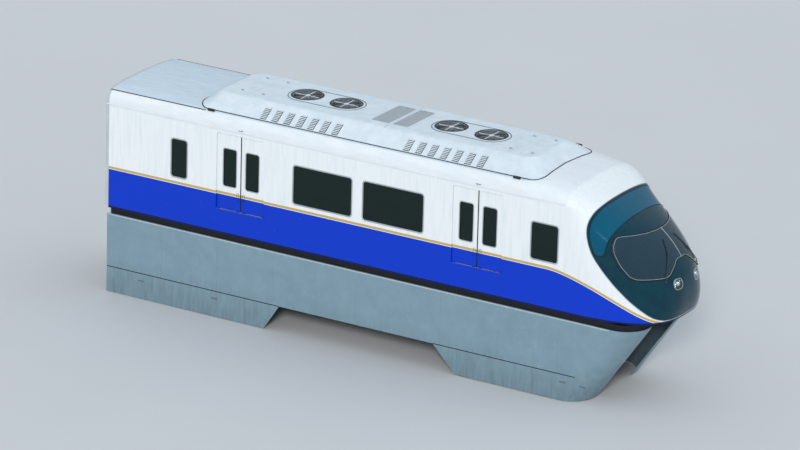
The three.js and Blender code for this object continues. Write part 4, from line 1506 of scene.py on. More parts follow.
@dataclass
class Nose:
    """The rounded nose: white shell, dark mask with a painted teal reflection, windscreen, tinted glass above
    it whose blue is a painted sky reflection, and headlamps.
    """

    wall: float = 0.05
    glass: float = 0.012
    gap: float = 0.0006
    mask_foot: float = 0.625
    visor_foot: float = 2.03
    mask_line: tuple[Pair, ...] = (
        (14.90, 0.625), (14.20, 0.625), (14.03, 0.72), (13.83, 0.89), (13.53, 1.13), (13.20, 1.42),
        (12.93, 1.70), (12.69, 1.99), (12.57, 2.24), (12.50, 2.50), (12.50, 2.71), (12.55, 2.90),
        (12.60, 3.05), (12.62, 3.70), (14.90, 3.70),
    )
    visor_rear: tuple[Pair, ...] = (
        (12.68, 3.60), (12.66, 3.05), (12.61, 2.90), (12.56, 2.71), (12.56, 2.50), (12.63, 2.24),
        (12.745, 2.03),
    )
    visor_front: tuple[Pair, ...] = (
        (12.93, 2.03), (12.95, 2.33), (13.03, 2.55), (13.09, 2.68), (13.12, 2.80), (13.12, 3.60),
    )
    screen_line: tuple[Pair, ...] = (
        (0.0, 1.88), (0.18, 1.88), (0.62, 1.56), (1.205, 1.56), (1.27, 1.86), (1.268, 2.15), (1.22, 2.30),
        (1.12, 2.45),
    )
    turn_in: float = 1.30  # where lines over the top are found from above and no longer from the side
    lamp_y: float = 0.40
    lamp_z: float = 1.40
    lamp_half: Pair = (0.13, 0.11)
    lamp_corner: float = 0.09

    def build(self) -> None:
        """Makes every piece of the nose."""
        self.skin = NoseSkin()
        self._shells()
        self._glazing()
        self._headlamps()
        self._trim()
        self._wipers()

    def _from_side(self, line: tuple[Pair, ...], shift: float = 0.0) -> list[Pair]:
        """A line given from the rear end wall, softened, in the part's frame and moved ahead by shift."""
        return softened([(station(x) + shift, z) for x, z in line], 0.14)

    def _over(self, line: list[Pair]) -> list[Vector]:
        """The path that a line seen from the side makes over the nose, from one flank to the other.

        Args:
            line: Places in the part's frame, either way up.

        Returns:
            Points on the nose's surface, from the left flank to the right one.
        """
        heights = sorted((z, x) for x, z in densified(line, 0.012))
        flank = []
        for z, x in heights[::3]:
            place = self.skin.from_side(x, z, Side.LEFT)
            if place is None or (z > 2.5 and place.y < self.turn_in):
                break
            flank.append(place)
        crown = []
        for y in row(self.turn_in, -self.turn_in / 24, 49):
            z = flank[-1].z
            for _ in range(12):
                place = self.skin.from_above(between(heights, z), y)
                z = place.z
            crown.append(place)
        return flank + crown + [Vector((place.x, -place.y, place.z)) for place in reversed(flank)]

    def _screen(self, gap: float) -> list[Pair]:
        """The windscreen's outline from the front.

        Args:
            gap: How far its edge is moved in.

        Returns:
            The whole outline.
        """
        middle = Vector((0.60, 2.15))
        half = []
        for y, z in self.screen_line:
            point = Vector((y, z))
            moved = point.lerp(middle, gap / (middle - point).length)
            half.append((0.0 if y == 0.0 else moved.x, moved.y))
        whole = half + [(-y, z) for y, z in reversed(half) if y > 0.0]
        return softened(whole, 0.10, True)

    def _lamp(self, side: Side, grown: float) -> list[Pair]:
        """A headlamp's outline from the front.

        Args:
            side: Which side's lamp.
            grown: How far its edge is moved out.

        Returns:
            The outline.
        """
        y, half_y, half_z = side.value * self.lamp_y, self.lamp_half[0] + grown, self.lamp_half[1] + grown
        return rounded_rect(
            (y - half_y, self.lamp_z - half_z), (y + half_y, self.lamp_z + half_z), self.lamp_corner,
        )

    def _across(self, line: list[Pair]) -> Shape:
        """The space inside a line that is seen from the side, through the whole nose."""
        return Shape.prism(line, View.SIDE, -1.7, 1.7)

    def _ahead(self, outline: list[Pair], start: float) -> Shape:
        """The space inside an outline that is seen from the front, from a station and past the tip."""
        return Shape.prism(outline, View.FRONT, station(start), station(14.9))

    def _shells(self) -> None:
        """The white shell and the dark mask, with holes for glass and lamps."""
        shell = self.skin.sheet.thickened(self.wall, 0.0, 1)
        white = shell.cut(self._across(self._from_side(self.mask_line)))
        item = white.piece("nose_shell_made", CAR, [NOSE_LIVERY, LINING_WHITE], "body_white", 30.0)
        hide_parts("nose_shell")
        mask_space = self._across(self._from_side(self.mask_line, 0.0003))
        holes = [
            self._ahead(self._screen(0.0), 12.4),
            self._across(self._from_side(self.visor_rear + self.visor_front)),
        ]
        holes += [self._ahead(self._lamp(side, 0.0), 13.4) for side in Side]
        mask = shell.common(mask_space).cut(*holes)
        item = mask.piece("nose_mask_made", CAR, [MASK_DARK, DESK], "mask_dark", 30.0)
        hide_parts("nose_mask")

    def _glazing(self) -> None:
        """The windscreen and the band of tinted glass, its blue a painted sky reflection."""
        pane = self.skin.sheet.thickened(self.glass)
        screen = pane.common(self._ahead(self._screen(self.gap), 12.4))
        item = screen.piece("windscreen_made", CAR, SCREEN_GLASS, "window_glass", 30.0)
        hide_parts("windscreen")
        foot = self.visor_foot + self.gap
        rear = [(x + self.gap, max(z, foot)) for x, z in self._from_side(self.visor_rear)]
        front = [(x - self.gap, max(z, foot)) for x, z in self._from_side(self.visor_front)]
        visor = pane.common(self._across(rear + front))
        item = visor.piece("visor_glass_made", CAR, VISOR_GLASS, "visor_blue", 30.0)
        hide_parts("visor_glass")

    def _headlamps(self) -> None:
        """Clear lenses that follow the nose, over a pair of reflectors with a lit bulb each."""
        lens = self.skin.sheet.thickened(0.008)
        bowls, bulbs, trays, rims = Shape(), Shape(), Shape(), Shape()
        bowl = Shape.turned(
            [
                (0.0, -0.050), (0.020, -0.048), (0.040, -0.038), (0.053, -0.020), (0.058, 0.0), (0.064, 0.0),
                (0.064, -0.006), (0.058, -0.024), (0.044, -0.044), (0.0, -0.056),
            ],
            28,
        )
        bulb = Shape.turned(
            [(0.0, -0.045), (0.010, -0.045), (0.014, -0.028), (0.012, -0.014), (0.0, -0.008)], 14,
        )
        for side in Side:
            cover = lens.common(self._ahead(self._lamp(side, -0.0006), 13.4))
            item = cover.piece(f"headlamp_{side.word}_made", CAR, CLEAR_GLASS, "lamp", 30.0)
            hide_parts(f"headlamp_{side.word}")
            middle = self.skin.from_front(side.value * self.lamp_y, self.lamp_z)
            spots = [
                at(middle.x - 0.045, middle.y + offset, middle.z) @ turn(90, "Y")
                for offset in (-0.062, 0.062)
            ]
            bowls.add(bowl, spots)
            bulbs.add(bulb, spots)
            outer, inner = self._lamp(side, -0.002), self._lamp(side, -0.012)
            trays.add(Shape.ring(outer, inner, View.FRONT, middle.x - 0.105, middle.x - 0.030))
            trays.add(Shape.prism(self._lamp(side, -0.003), View.FRONT, middle.x - 0.112, middle.x - 0.104))
            rims.add(self._bead(self._lamp(side, 0.004), 0.03, 0.002, 0.007))
        bowls.piece("lamp_reflectors", CAR, MIRROR_METAL, "lamp")
        bulbs.piece("lamp_bulbs", CAR, LAMP_GLOW, "lamp")
        trays.piece("lamp_trays", CAR, SILVER)
        rims.piece("lamp_rims", CAR, SILVER)

    def _bead(self, outline: list[Pair], step: float, proud: float, radius: float) -> Shape:
        """A round bead that follows a closed outline over the front of the nose.

        Args:
            outline: The outline, seen from the front.
            step: Longest distance between the bead's points.
            proud: How far its middle stands outside the nose.
            radius: Its radius.

        Returns:
            The bead.
        """
        points = [self.skin.from_front(y, z, proud) for y, z in densified(outline, step, True)]
        return Shape.pipe(points, radius, 2, True)

    def _trim(self) -> None:
        """The bright line round the mask's lower edge, glass seals and the centre bar."""
        lines, seals, bars = Shape(), Shape(), Shape()
        edge = self._from_side(self.mask_line[1:-1])
        lines.add(Shape.pipe(self._over(edge), 0.009, 2))
        chin = self.skin.from_side(edge[0][0], self.mask_foot, Side.LEFT).y
        path = [self.skin.from_front(y, self.mask_foot, 0.001) for y in row(-chin, chin / 20, 41)]
        lines.add(Shape.pipe([place for place in path if place], 0.009, 2))
        lines.piece("mask_edge_line", CAR, SILVER)
        seals.add(self._bead(self._screen(-0.004), 0.05, 0.002, 0.010))
        for line in (self.visor_rear, self.visor_front):
            seals.add(Shape.pipe(self._over(self._from_side(line)), 0.008, 2))
        foot = [(station(x), self.visor_foot) for x in (self.visor_rear[-1][0], self.visor_front[0][0])]
        for side in Side:
            seals.add(
                Shape.pipe([self.skin.from_side(x, z, side) for x, z in densified(foot, 0.03)], 0.008, 2)
            )
        seals.piece("glass_seals", CAR, RUBBER)
        bars.add(self._bead(self._screen(0.022), 0.05, 0.001, 0.006))
        bars.add(Shape.pipe([self.skin.from_front(0.0, z, 0.001) for z in row(1.88, 0.044, 14)], 0.010, 2))
        bars.piece("windscreen_frame", CAR, SILVER)

    def _wipers(self) -> None:
        """Two wipers parked along the windscreen's lower edge."""
        arms, blades = Shape(), Shape()
        cap = Shape.turned([(0.0, 0.0), (0.028, 0.0), (0.028, 0.016), (0.018, 0.026), (0.0, 0.028)], 16)
        line = densified([(0.62, 1.66), (0.24, 2.28)], 0.06)
        for side in Side:
            joints = ((0.70, 1.50, 0.012), (0.66, 1.62, 0.040), (0.42, 1.98, 0.034))
            arm = [self.skin.from_front(side.value * y, z, proud) for y, z, proud in joints]
            arms.add(Shape.pipe(arm, 0.009, 2))
            arms.add(cap, [Matrix.Translation(arm[0] - Vector((0.016, 0, 0))) @ turn(80, "Y")])
            blades.add(
                Shape.pipe([self.skin.from_front(side.value * y, z, 0.014) for y, z in line], 0.008, 1)
            )
        arms.piece("wiper_arms", CAR, STEEL)
        blades.piece("wiper_blades", CAR, RUBBER)


@dataclass
class RoofUnits:
    """The raised roof fairing with its fans, louvres and seams."""

    crown: float = 3.70
    fans: tuple[float, ...] = (4.45, 5.48, 8.22, 9.25)
    fan_radius: float = 0.33
    blades: int = 7
    cowl: float = 0.012
    louvre_spans: tuple[Pair, ...] = ((3.90, 6.10), (7.65, 9.85))
    louvres: int = 7
    louvre_middle: Pair = (1.136, 3.512)  # y and z
    slat_tilt: float = 38.0  # degrees
    line_y: float = 1.352
    eyes: tuple[float, ...] = (3.05, 3.60, 6.75, 7.25, 10.05, 10.60)
    seams: tuple[float, ...] = (3.35, 6.45, 7.50, 10.35)
    slope: float = math.atan2(0.350, 0.512)
    rings: tuple[tuple[float, float, float, float, float], ...] = (  # rear, front, half width, corner, height
        (2.15, 11.34, 1.362, 0.43, 3.15), (2.18, 11.30, 1.352, 0.42, 3.35), (2.56, 10.82, 0.88, 0.30, 3.68),
    )
    plates: tuple[Pair, ...] = ((6.50, 6.955), (7.055, 7.44))

    def build(self) -> None:
        """Makes the fairing and its fittings."""
        fairing = copied("roof_fairing").rounded(0.008, 2, 24.0)
        fairing = fairing.cut(self._seams())
        item = fairing.piece("roof_fairing_made", CAR, UNIT_WHITE, "body_white", 24.0)
        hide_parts("roof_fairing")
        self._fans()
        self._slats()
        self._base_seal()
        self._top_plates()
        self._fasteners()

    def _seams(self) -> Shape:
        """Narrow cuts where the fairing's cover panels meet.

        Returns:
            The shape to cut away.
        """
        seams = Shape()
        for x in map(station, self.seams):
            seams.add(
                Shape.block((x - 0.003, -0.70, self.crown - 0.006), (x + 0.003, 0.70, self.crown + 0.02))
            )
        return seams

    def _fans(self) -> None:
        """Blades, motors, guards and rims in the four wells."""
        blades, guards, rims, wires = Shape(), Shape(), Shape(), Shape()
        edge = self.fan_radius
        rim = Shape.turned([
            (edge - 0.002, -0.10), (edge + 0.001, 0.002), (edge + 0.012, 0.012), (edge + 0.040, 0.012),
            (edge + 0.052, 0.002), (edge + 0.052, -0.004), (edge - 0.012, -0.004), (edge - 0.012, -0.10),
        ], 64, True)
        blade = Shape.sheet(10, 4, self._blade_point).thickened(0.004, 0.002)
        hub = Shape.turned(
            [(0.0, -0.13), (0.085, -0.13), (0.085, -0.075), (0.070, -0.062), (0.0, -0.058)], 28,
        )
        spoke = Shape.rod((0.05, 0.0, 0.0), (edge - 0.004, 0.0, 0.0), 0.0045, 6)
        for radius in row(0.075, 0.036, 8):
            wires.add(Shape.pipe([(a, b, 0.0) for a, b in circle(radius, 40)], 0.0035, 1, True))
        for centre in self.fans:
            spot = at(station(centre), 0.0, self.crown + self.cowl)
            rims.add(rim, [spot])
            blades.add(blade, [spot @ way for way in around(self.blades)]).add(hub, [spot])
            guards.add(wires, [spot @ at(z=-0.006)])
            guards.add(spoke, [spot @ at(z=-0.001) @ way for way in around(8, 22.5)])
        blades.piece("roof_fan_blades", CAR, FAN_DARK)
        guards.piece("roof_fan_guards", CAR, GUARD)
        rims.piece("roof_fan_rims", CAR, FAN_DARK, smooth=30.0)

    def _blade_point(self, out: float, across: float) -> Vector:
        """A point on a fan blade.

        Args:
            out: 0 at the hub, 1 at the tip.
            across: 0 at the leading edge, 1 at the trailing one.

        Returns:
            The point.
        """
        radius = 0.07 + (self.fan_radius - 0.095) * out
        sweep = (across - 0.5) * (0.85 - 0.25 * out) + 0.30 * out
        return Vector(
            (radius * math.cos(sweep), radius * math.sin(sweep), -0.075 - 0.040 * across * (1.0 - 0.4 * out))
        )

    def _slats(self) -> None:
        """Slanted slats in every louvre slot, with a dark tray behind them that paints the shade inside the
        slot.
        """
        slats, trays = Shape(), Shape()
        slat = Shape.block((-0.080, -0.012, -0.0018), (0.080, 0.012, 0.0018), 0.001, 1)
        # The tray's black is a painted shade of the slot's depth.
        tray = Shape.block((-0.083, -0.163, -0.029), (0.083, 0.163, -0.022))
        y, z = self.louvre_middle
        for start, end in self.louvre_spans:
            step = (end - start) / self.louvres
            for x in row(start + step / 2, step, self.louvres):
                for side in Side:
                    lean = Matrix.Rotation(-side.value * self.slope, 4, "X")
                    face = at(station(x), side.value * y, z) @ lean
                    tilt = turn(-side.value * self.slat_tilt, "X")
                    trays.add(tray, [face])
                    slats.add(slat, [face @ at(y=up, z=0.006) @ tilt for up in row(-0.138, 0.046, 7)])
        slats.piece("louvre_slats", CAR, UNIT_WHITE)
        trays.piece("louvre_trays", CAR, FAN_DARK)

    def _base_seal(self) -> None:
        """A seal round the foot of the fairing, its black partly a painted shadow line, roof lines behind it,
        and drain outlets near its corners, dark blocks that stand for their shade.
        """
        seals, drains = Shape(), Shape()
        arch = Arch()
        # The seal's black is partly a painted shadow line where the fairing meets the roof.
        seals.add(Shape.pipe(self._foot(arch), 0.013, 2, True))
        for side in Side:
            points = []
            for x in map(station, row(0.04, 0.285, 10)):
                points.append((x, side.value * self.line_y, self._roof_height(arch, x, self.line_y) + 0.003))
            seals.add(Shape.pipe(points, 0.011, 2))
            # Drain outlets: dark blocks whose black stands for the shade inside the outlets.
            for x in map(station, (2.75, 10.70)):
                height = self._roof_height(arch, x, 1.366)
                y = side.value * 1.356
                drains.add(
                    Shape.block(
                        (x - 0.09, y - 0.016, height + 0.015), (x + 0.09, y + 0.016, height + 0.075), 0.006,
                    )
                )
        seals.piece("fairing_seal", CAR, RUBBER)
        drains.piece("fairing_drains", CAR, FAN_DARK)

    def _foot(self, arch: Arch) -> list[Vector]:
        """The closed line where the fairing's sides leave the roof.

        Args:
            arch: The roof's cross-section.

        Returns:
            The line's points.
        """
        rings = []
        for rear, front, half, corner, height in self.rings:
            outline = rounded_rect((station(rear), -half), (station(front), half), corner, 8)
            ring = []
            for start, end in zip(outline, outline[1:] + outline[:1]):
                count = 10 if math.dist(start, end) > 0.5 else 1
                ring += [
                    Vector((*start, height)).lerp(Vector((*end, height)), part / count)
                    for part in range(count)
                ]
            rings.append(ring)
        path = []
        for low, middle, high in zip(*rings):
            below, above = 0.0, 2.0
            for _ in range(12):
                part = (below + above) / 2
                place = low.lerp(middle, part) if part < 1.0 else middle.lerp(high, part - 1.0)
                if place.z < self._roof_height(arch, place.x, abs(place.y)):
                    below = part
                else:
                    above = part
            path.append(place)
        return path

    def _top_plates(self) -> None:
        """Ribbed plates to kneel on between the two units, their darker grey partly a painted shade, and a
        raised edge round each pair of fans, dark grey as a painted shadow line.
        """
        plates, edges = Shape(), Shape()
        for start, end in self.plates:
            outline = rounded_rect((station(start), -0.60), (station(end), 0.60), 0.03)
            plates.add(Shape.prism(outline, View.PLAN, self.crown - 0.002, self.crown + 0.006, 0.002))
        for first, last in zip(self.fans[::2], self.fans[1::2]):
            reach = self.fan_radius + 0.12
            low, high = (station(first) - reach, -reach), (station(last) + reach, reach)
            inner = (low[0] + 0.022, low[1] + 0.022), (high[0] - 0.022, high[1] - 0.022)
            edges.add(Shape.ring(
                rounded_rect(low, high, reach - 0.01, 12), rounded_rect(*inner, reach - 0.032, 12), View.PLAN,
                self.crown - 0.002, self.crown + 0.010, 0.003,
            ))
        # The plates' darker grey is partly a painted shade of the dip between the units.
        plates.piece("fairing_top_plates", CAR, SHADED_TREAD_PLATE)
        # The fan surrounds' dark grey is a painted shadow line.
        edges.piece("fan_surrounds", CAR, UNIT_SHADOW_GREY)

    def _roof_height(self, arch: Arch, x: float, y: float) -> float:
        """The roof's height at a place, found along the arch.

        Args:
            arch: The roof's cross-section.
            x: The place along the car.
            y: The place across it.

        Returns:
            The height.
        """
        points = [arch.point(x, 0.5 + 0.5 * part / 200) for part in range(201)]
        line = sorted((point.y, point.z) for point in points)
        return between(line, y)

    def _fasteners(self) -> None:
        """Lifting eyes and screw heads on the fairing's top."""
        eyes, screws = Shape(), Shape()
        arc = [(0.030 * math.cos(a), 0.0, 0.030 * math.sin(a)) for a in row(0.0, math.pi / 10, 11)]
        eye = Shape.pipe(arc, 0.006, 2).add(Shape.block((-0.045, -0.018, 0.0), (0.045, 0.018, 0.008), 0.003))
        for x in self.eyes:
            eyes.add(eye, [at(station(x), side.value * 0.52, self.crown - 0.004) for side in Side])
        head = Shape.turned([(0.0, 0.0), (0.011, 0.0), (0.010, 0.004), (0.0, 0.0055)], 10)
        for x in row(3.20, 0.30, 25):
            if min(abs(x - fan) for fan in self.fans) > 0.45:
                screws.add(head, [at(station(x), side.value * 0.70, self.crown - 0.001) for side in Side])
        eyes.piece("fairing_lifting_eyes", CAR, SILVER)
        screws.piece("fairing_screws", CAR, SILVER)


@dataclass
class Skirts:
    """Deep side skirts with their panel seams, service hatches, handles and edge seals."""

    outer: float = HALF_WIDTH
    seam: Pair = (0.006, 0.004)  # width and depth
    upper_seams: tuple[float, ...] = (1.55, 3.05, 4.55, 6.75, 8.95, 10.45, 11.95)
    upper_span: Pair = (-0.835, 0.440)  # heights
    lower_seams: Pair = (2.35, 11.30)
    lower_span: Pair = (-1.470, -0.865)
    long_seams: tuple[Pair, ...] = ((0.0, 4.75), (8.75, 12.40))
    seam_height: float = -0.8505
    corner: float = 0.62  # radius of the panel's front corner, at its top edge
    corner_start: float = station(13.26)
    mouth: float = 0.765  # half the opening for the beam
    hatch_places: tuple[float, ...] = (2.30, 5.60, 7.90, 11.20)
    hatch_z: float = -0.20
    handle_places: tuple[float, ...] = (12.10, 12.60, 3.0, 1.0)
    handle_z: float = -1.02
    screw_heights: Pair = (0.385, -0.800)

    def build(self) -> None:
        """Makes the six panels and their fittings."""
        grooves = self._grooves()
        for part in ("upper", "lower_rear", "lower_front"):
            for side in Side:
                node = f"skirt_{part}_{side.word}"
                panel = copied(node).cut(grooves).rounded(0.004, 2, 50.0)
                item = panel.piece(f"{node}_made", CAR, SKIRT_GREY, "skirt_grey", 40.0)
                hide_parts(node)
        self._hatches()
        self._edge_seals()

    def _grooves(self) -> Shape:
        """The cuts that divide the skirt into panels, on both sides.

        Returns:
            The shape to cut away.
        """
        width, depth = self.seam
        grooves = Shape()
        for side in Side:
            face = sorted((side.value * (self.outer - depth), side.value * (self.outer + 0.02)))
            for places, (low, high) in (
                (self.upper_seams, self.upper_span), (self.lower_seams, self.lower_span),
            ):
                for x in map(station, places):
                    grooves.add(Shape.block((x - width / 2, face[0], low), (x + width / 2, face[1], high)))
            low, high = self.seam_height - 0.010, self.seam_height + 0.010
            for start, end in self.long_seams:
                grooves.add(Shape.block((station(start), face[0], low), (station(end), face[1], high)))
        return grooves

    def _hatches(self) -> None:
        """Service hatches with latches, panel screws, and finger handles low down."""
        hatches, latches, handles = Shape(), Shape(), Shape()
        face = self.outer
        for x in map(station, self.hatch_places):
            low, high = (x - 0.28, self.hatch_z - 0.18), (x + 0.28, self.hatch_z + 0.18)
            hatches.add(
                Shape.prism(rounded_rect(low, high, 0.04), View.SIDE, face - 0.001, face + 0.003, 0.0015),
                BOTH,
            )
            for spot in (x - 0.2, x + 0.2):
                ends = [(spot, face + out, self.hatch_z - 0.14) for out in (0.0, 0.007)]
                latches.add(Shape.rod(*ends, 0.012), BOTH)
        for x in map(station, self.handle_places):
            line = [(x - 0.07, -0.002), (x - 0.06, 0.022), (x + 0.06, 0.022), (x + 0.07, -0.002)]
            handles.add(Shape.pipe([(a, face + out, self.handle_z) for a, out in line], 0.006, 2), BOTH)
        head = Shape.turned([(0.0, 0.0), (0.010, 0.0), (0.009, 0.003), (0.0, 0.004)], 10)
        for x in map(station, row(0.30, 0.43, 30)):
            for z in self.screw_heights:
                latches.add(head, [flip @ at(x, face - 0.0005, z) @ turn(-90, "X") for flip in BOTH])
        hatches.piece("skirt_hatches", CAR, SKIRT_GREY)
        latches.piece("skirt_screws", CAR, SILVER)
        handles.piece("skirt_handles", CAR, STEEL)

    def _edge_seals(self) -> None:
        """A rubber lip below the body, its black partly a painted shade of the gap, a strip in each long
        seam, and a light strip along the top edge, a painted highlight.
        """
        seals, strips = Shape(), Shape()
        face, seam = self.outer, self.seam_height
        # The lip's black rubber is partly a painted shade of the gap between body and skirt.
        lip = self._lip_line(0.049) + self._lip_line(0.061)[::-1]
        seals.add(Shape.prism(lip, View.PLAN, 0.428, 0.566), BOTH)
        for side in Side:
            for part, (_, end) in zip(("rear", "front"), self.long_seams):
                low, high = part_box(f"skirt_lower_{part}_{side.word}")
                last = min(high.x - 0.01, station(end) - 0.002)
                strip = Shape.block(
                    (low.x + 0.01, face - 0.0036, seam - 0.009), (last, face - 0.0012, seam + 0.009),
                )
                seals.add(strip, [side.flip])
        # The light strip along the skirt's top edge is a painted highlight.
        start, end = station(0.02), self.corner_start - 0.05
        strips.add(Shape.block((start, face - 0.001, 0.398), (end, face + 0.0025, 0.4285), 0.0015), BOTH)
        seals.piece("skirt_seals", CAR, RUBBER)
        strips.piece("skirt_edge_strips", CAR, SKIRT_HIGHLIGHT)

    def _lip_line(self, inset: float) -> list[Pair]:
        """A line in plan that follows the left skirt from the rear and round its front corner.

        Args:
            inset: How far inside the skirt's face it runs.

        Returns:
            The line's points.
        """
        radius = self.corner - inset
        line = [(station(0.15), self.outer - inset)]
        for angle in row(math.pi / 2, -math.pi / 20, 11):
            line.append(
                (
                    self.corner_start + radius * math.cos(angle),
                    self.outer - self.corner + radius * math.sin(angle),
                )
            )
        return line + [(self.corner_start + radius, self.mouth)]


@dataclass
class Gangway:
    """Half of the folded bellows round the passage, between two metal frames."""

    start: float = REAR - 0.35
    end: float = REAR - 0.0003
    outer: tuple[Pair, Pair] = ((-0.80, 1.01), (0.80, 3.17))
    inner: tuple[Pair, Pair] = ((-0.56, 1.16), (0.56, 3.06))
    frame: float = 0.022
    folds: int = 6

    def build(self) -> None:
        """Makes the bellows, its frames and the step plate."""
        outer = rounded_rect(*self.outer, 0.13, 8)
        inner = rounded_rect(*self.inner, 0.09, 8)
        profile = self._profile()
        count, steps = len(outer), len(profile) - 1

        def place(round_it: float, through: float) -> Vector:
            """A point on the bellows.

            Args:
                round_it: 0 to 1, once round the passage.
                through: 0 to 1, once round the wall's section.

            Returns:
                The point.
            """
            index = round(round_it * count) % count
            x, depth = profile[round(through * steps)]
            spot = Vector(outer[index]).lerp(Vector(inner[index]), depth)
            return Vector((x, spot.x, spot.y))

        bellows = Shape.sheet(count, steps, place).outward().rounded(0.005, 2, 40.0)
        item = bellows.piece("gangway_bellows_made", CAR, BELLOWS, "bellows", 50.0)
        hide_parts("gangway_bellows")
        frames = Shape()
        for low in (self.start, self.end - self.frame):
            frames.add(Shape.ring(outer, inner, View.FRONT, low, low + self.frame, 0.003))
        frames.piece("gangway_frames", CAR, SILVER)
        plate = Shape.block((self.start, -0.50, FLOOR + 0.012), (REAR + 0.10, 0.50, FLOOR + 0.020), 0.003)
        plate.piece("gangway_plate", CAR, BRUSHED)

    def _profile(self) -> list[Pair]:
        """The bellows' wall in section.

        Returns:
            Places along the car, each with a depth from outside (0) to inside (1).
        """
        start, end = self.start + self.frame, self.end - self.frame
        step = (end - start) / (2 * self.folds)
        waves = []
        for index in range(2 * self.folds + 1):
            waves.append((start + step * index, 0.02 if index % 2 else 0.30))
        back = [(x, 0.98 if depth < 0.1 else 0.66) for x, depth in reversed(waves)]
        return waves + back + waves[:1]


@dataclass
class Underfloor:
    """The underframe, its equipment boxes' lids and cooling fins, conduits and the coupler."""

    lanes: tuple[Pair, ...] = ((1.270, 0.93), (1.270, 0.98), (1.245, 0.955))  # y and z of the conduits
    coupler_z: float = 0.735

    def build(self) -> None:
        """Makes the underframe, coupler and what hangs below the floor."""
        remade("underframe", CAR, STEEL, "frame_steel", 0.006)
        remade("coupler", CAR, STEEL, "frame_steel", 0.008)
        remade("grab_rails", CAR, BRUSHED, "rail", 0.0)
        self._boxes()
        self._conduits()
        self._coupler_face()

    def _boxes(self) -> None:
        """Lids, latches and fins on the equipment boxes between the bogies."""
        lids, fins = Shape(), Shape()
        for x in map(station, row(5.05, 0.72, 5)):
            lids.add(Shape.block((x, 0.888, 0.54), (x + 0.62, 0.897, 1.00), 0.004), BOTH)
            for rise in (0.60, 0.94):
                lids.add(Shape.block((x + 0.27, 0.894, rise), (x + 0.35, 0.905, rise + 0.03), 0.004), BOTH)
        for x in map(station, row(5.0, 0.06, 60)):
            fins.add(Shape.block((x, 0.30, 0.452), (x + 0.012, 0.84, 0.482)), BOTH)
        lids.piece("equipment_lids", CAR, SKIRT_GREY)
        fins.piece("equipment_fins", CAR, AXLE_STEEL)

    def _coupler_face(self) -> None:
        """The funnel, pin and air ports on the coupler's head."""
        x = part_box("coupler")[0].x
        z = self.coupler_z
        ring = Shape.turned(
            [(0.030, 0.0), (0.052, 0.0), (0.060, 0.018), (0.040, 0.022), (0.030, 0.010)], 24, True,
        )
        port = Shape.turned([(0.0, 0.0), (0.022, 0.0), (0.020, 0.010), (0.0, 0.012)], 16)
        spots = [at(x - 0.001, y, z + rise) for y in (-0.11, 0.0, 0.11) for rise in (-0.08, 0.08)]
        ports = ring.placed(*[at(x - 0.001, y, z) @ turn(-90, "Y") for y in (-0.075, 0.075)])
        ports.add(port, [spot @ turn(-90, "Y") for spot in spots])
        ports.add(Shape.rod((x - 0.020, 0.075, z), (x + 0.02, 0.075, z), 0.030, 20, 0.036))
        ports.piece("coupler_ports", CAR, AXLE_STEEL)

    def _conduits(self) -> None:
        """Conduits along both sills, with clips."""
        conduits, clips = Shape(), Shape()
        for y, z in self.lanes:
            conduits.add(Shape.rod((station(0.6), y, z), (station(12.3), y, z), 0.018, 10), BOTH)
        for x in map(station, row(0.9, 0.9, 13)):
            clips.add(Shape.block((x, 1.214, 0.90), (x + 0.03, 1.310, 1.008), 0.004), BOTH)
        conduits.piece("underfloor_conduits", CAR, RUBBER)
        clips.piece("conduit_clips", CAR, AXLE_STEEL)


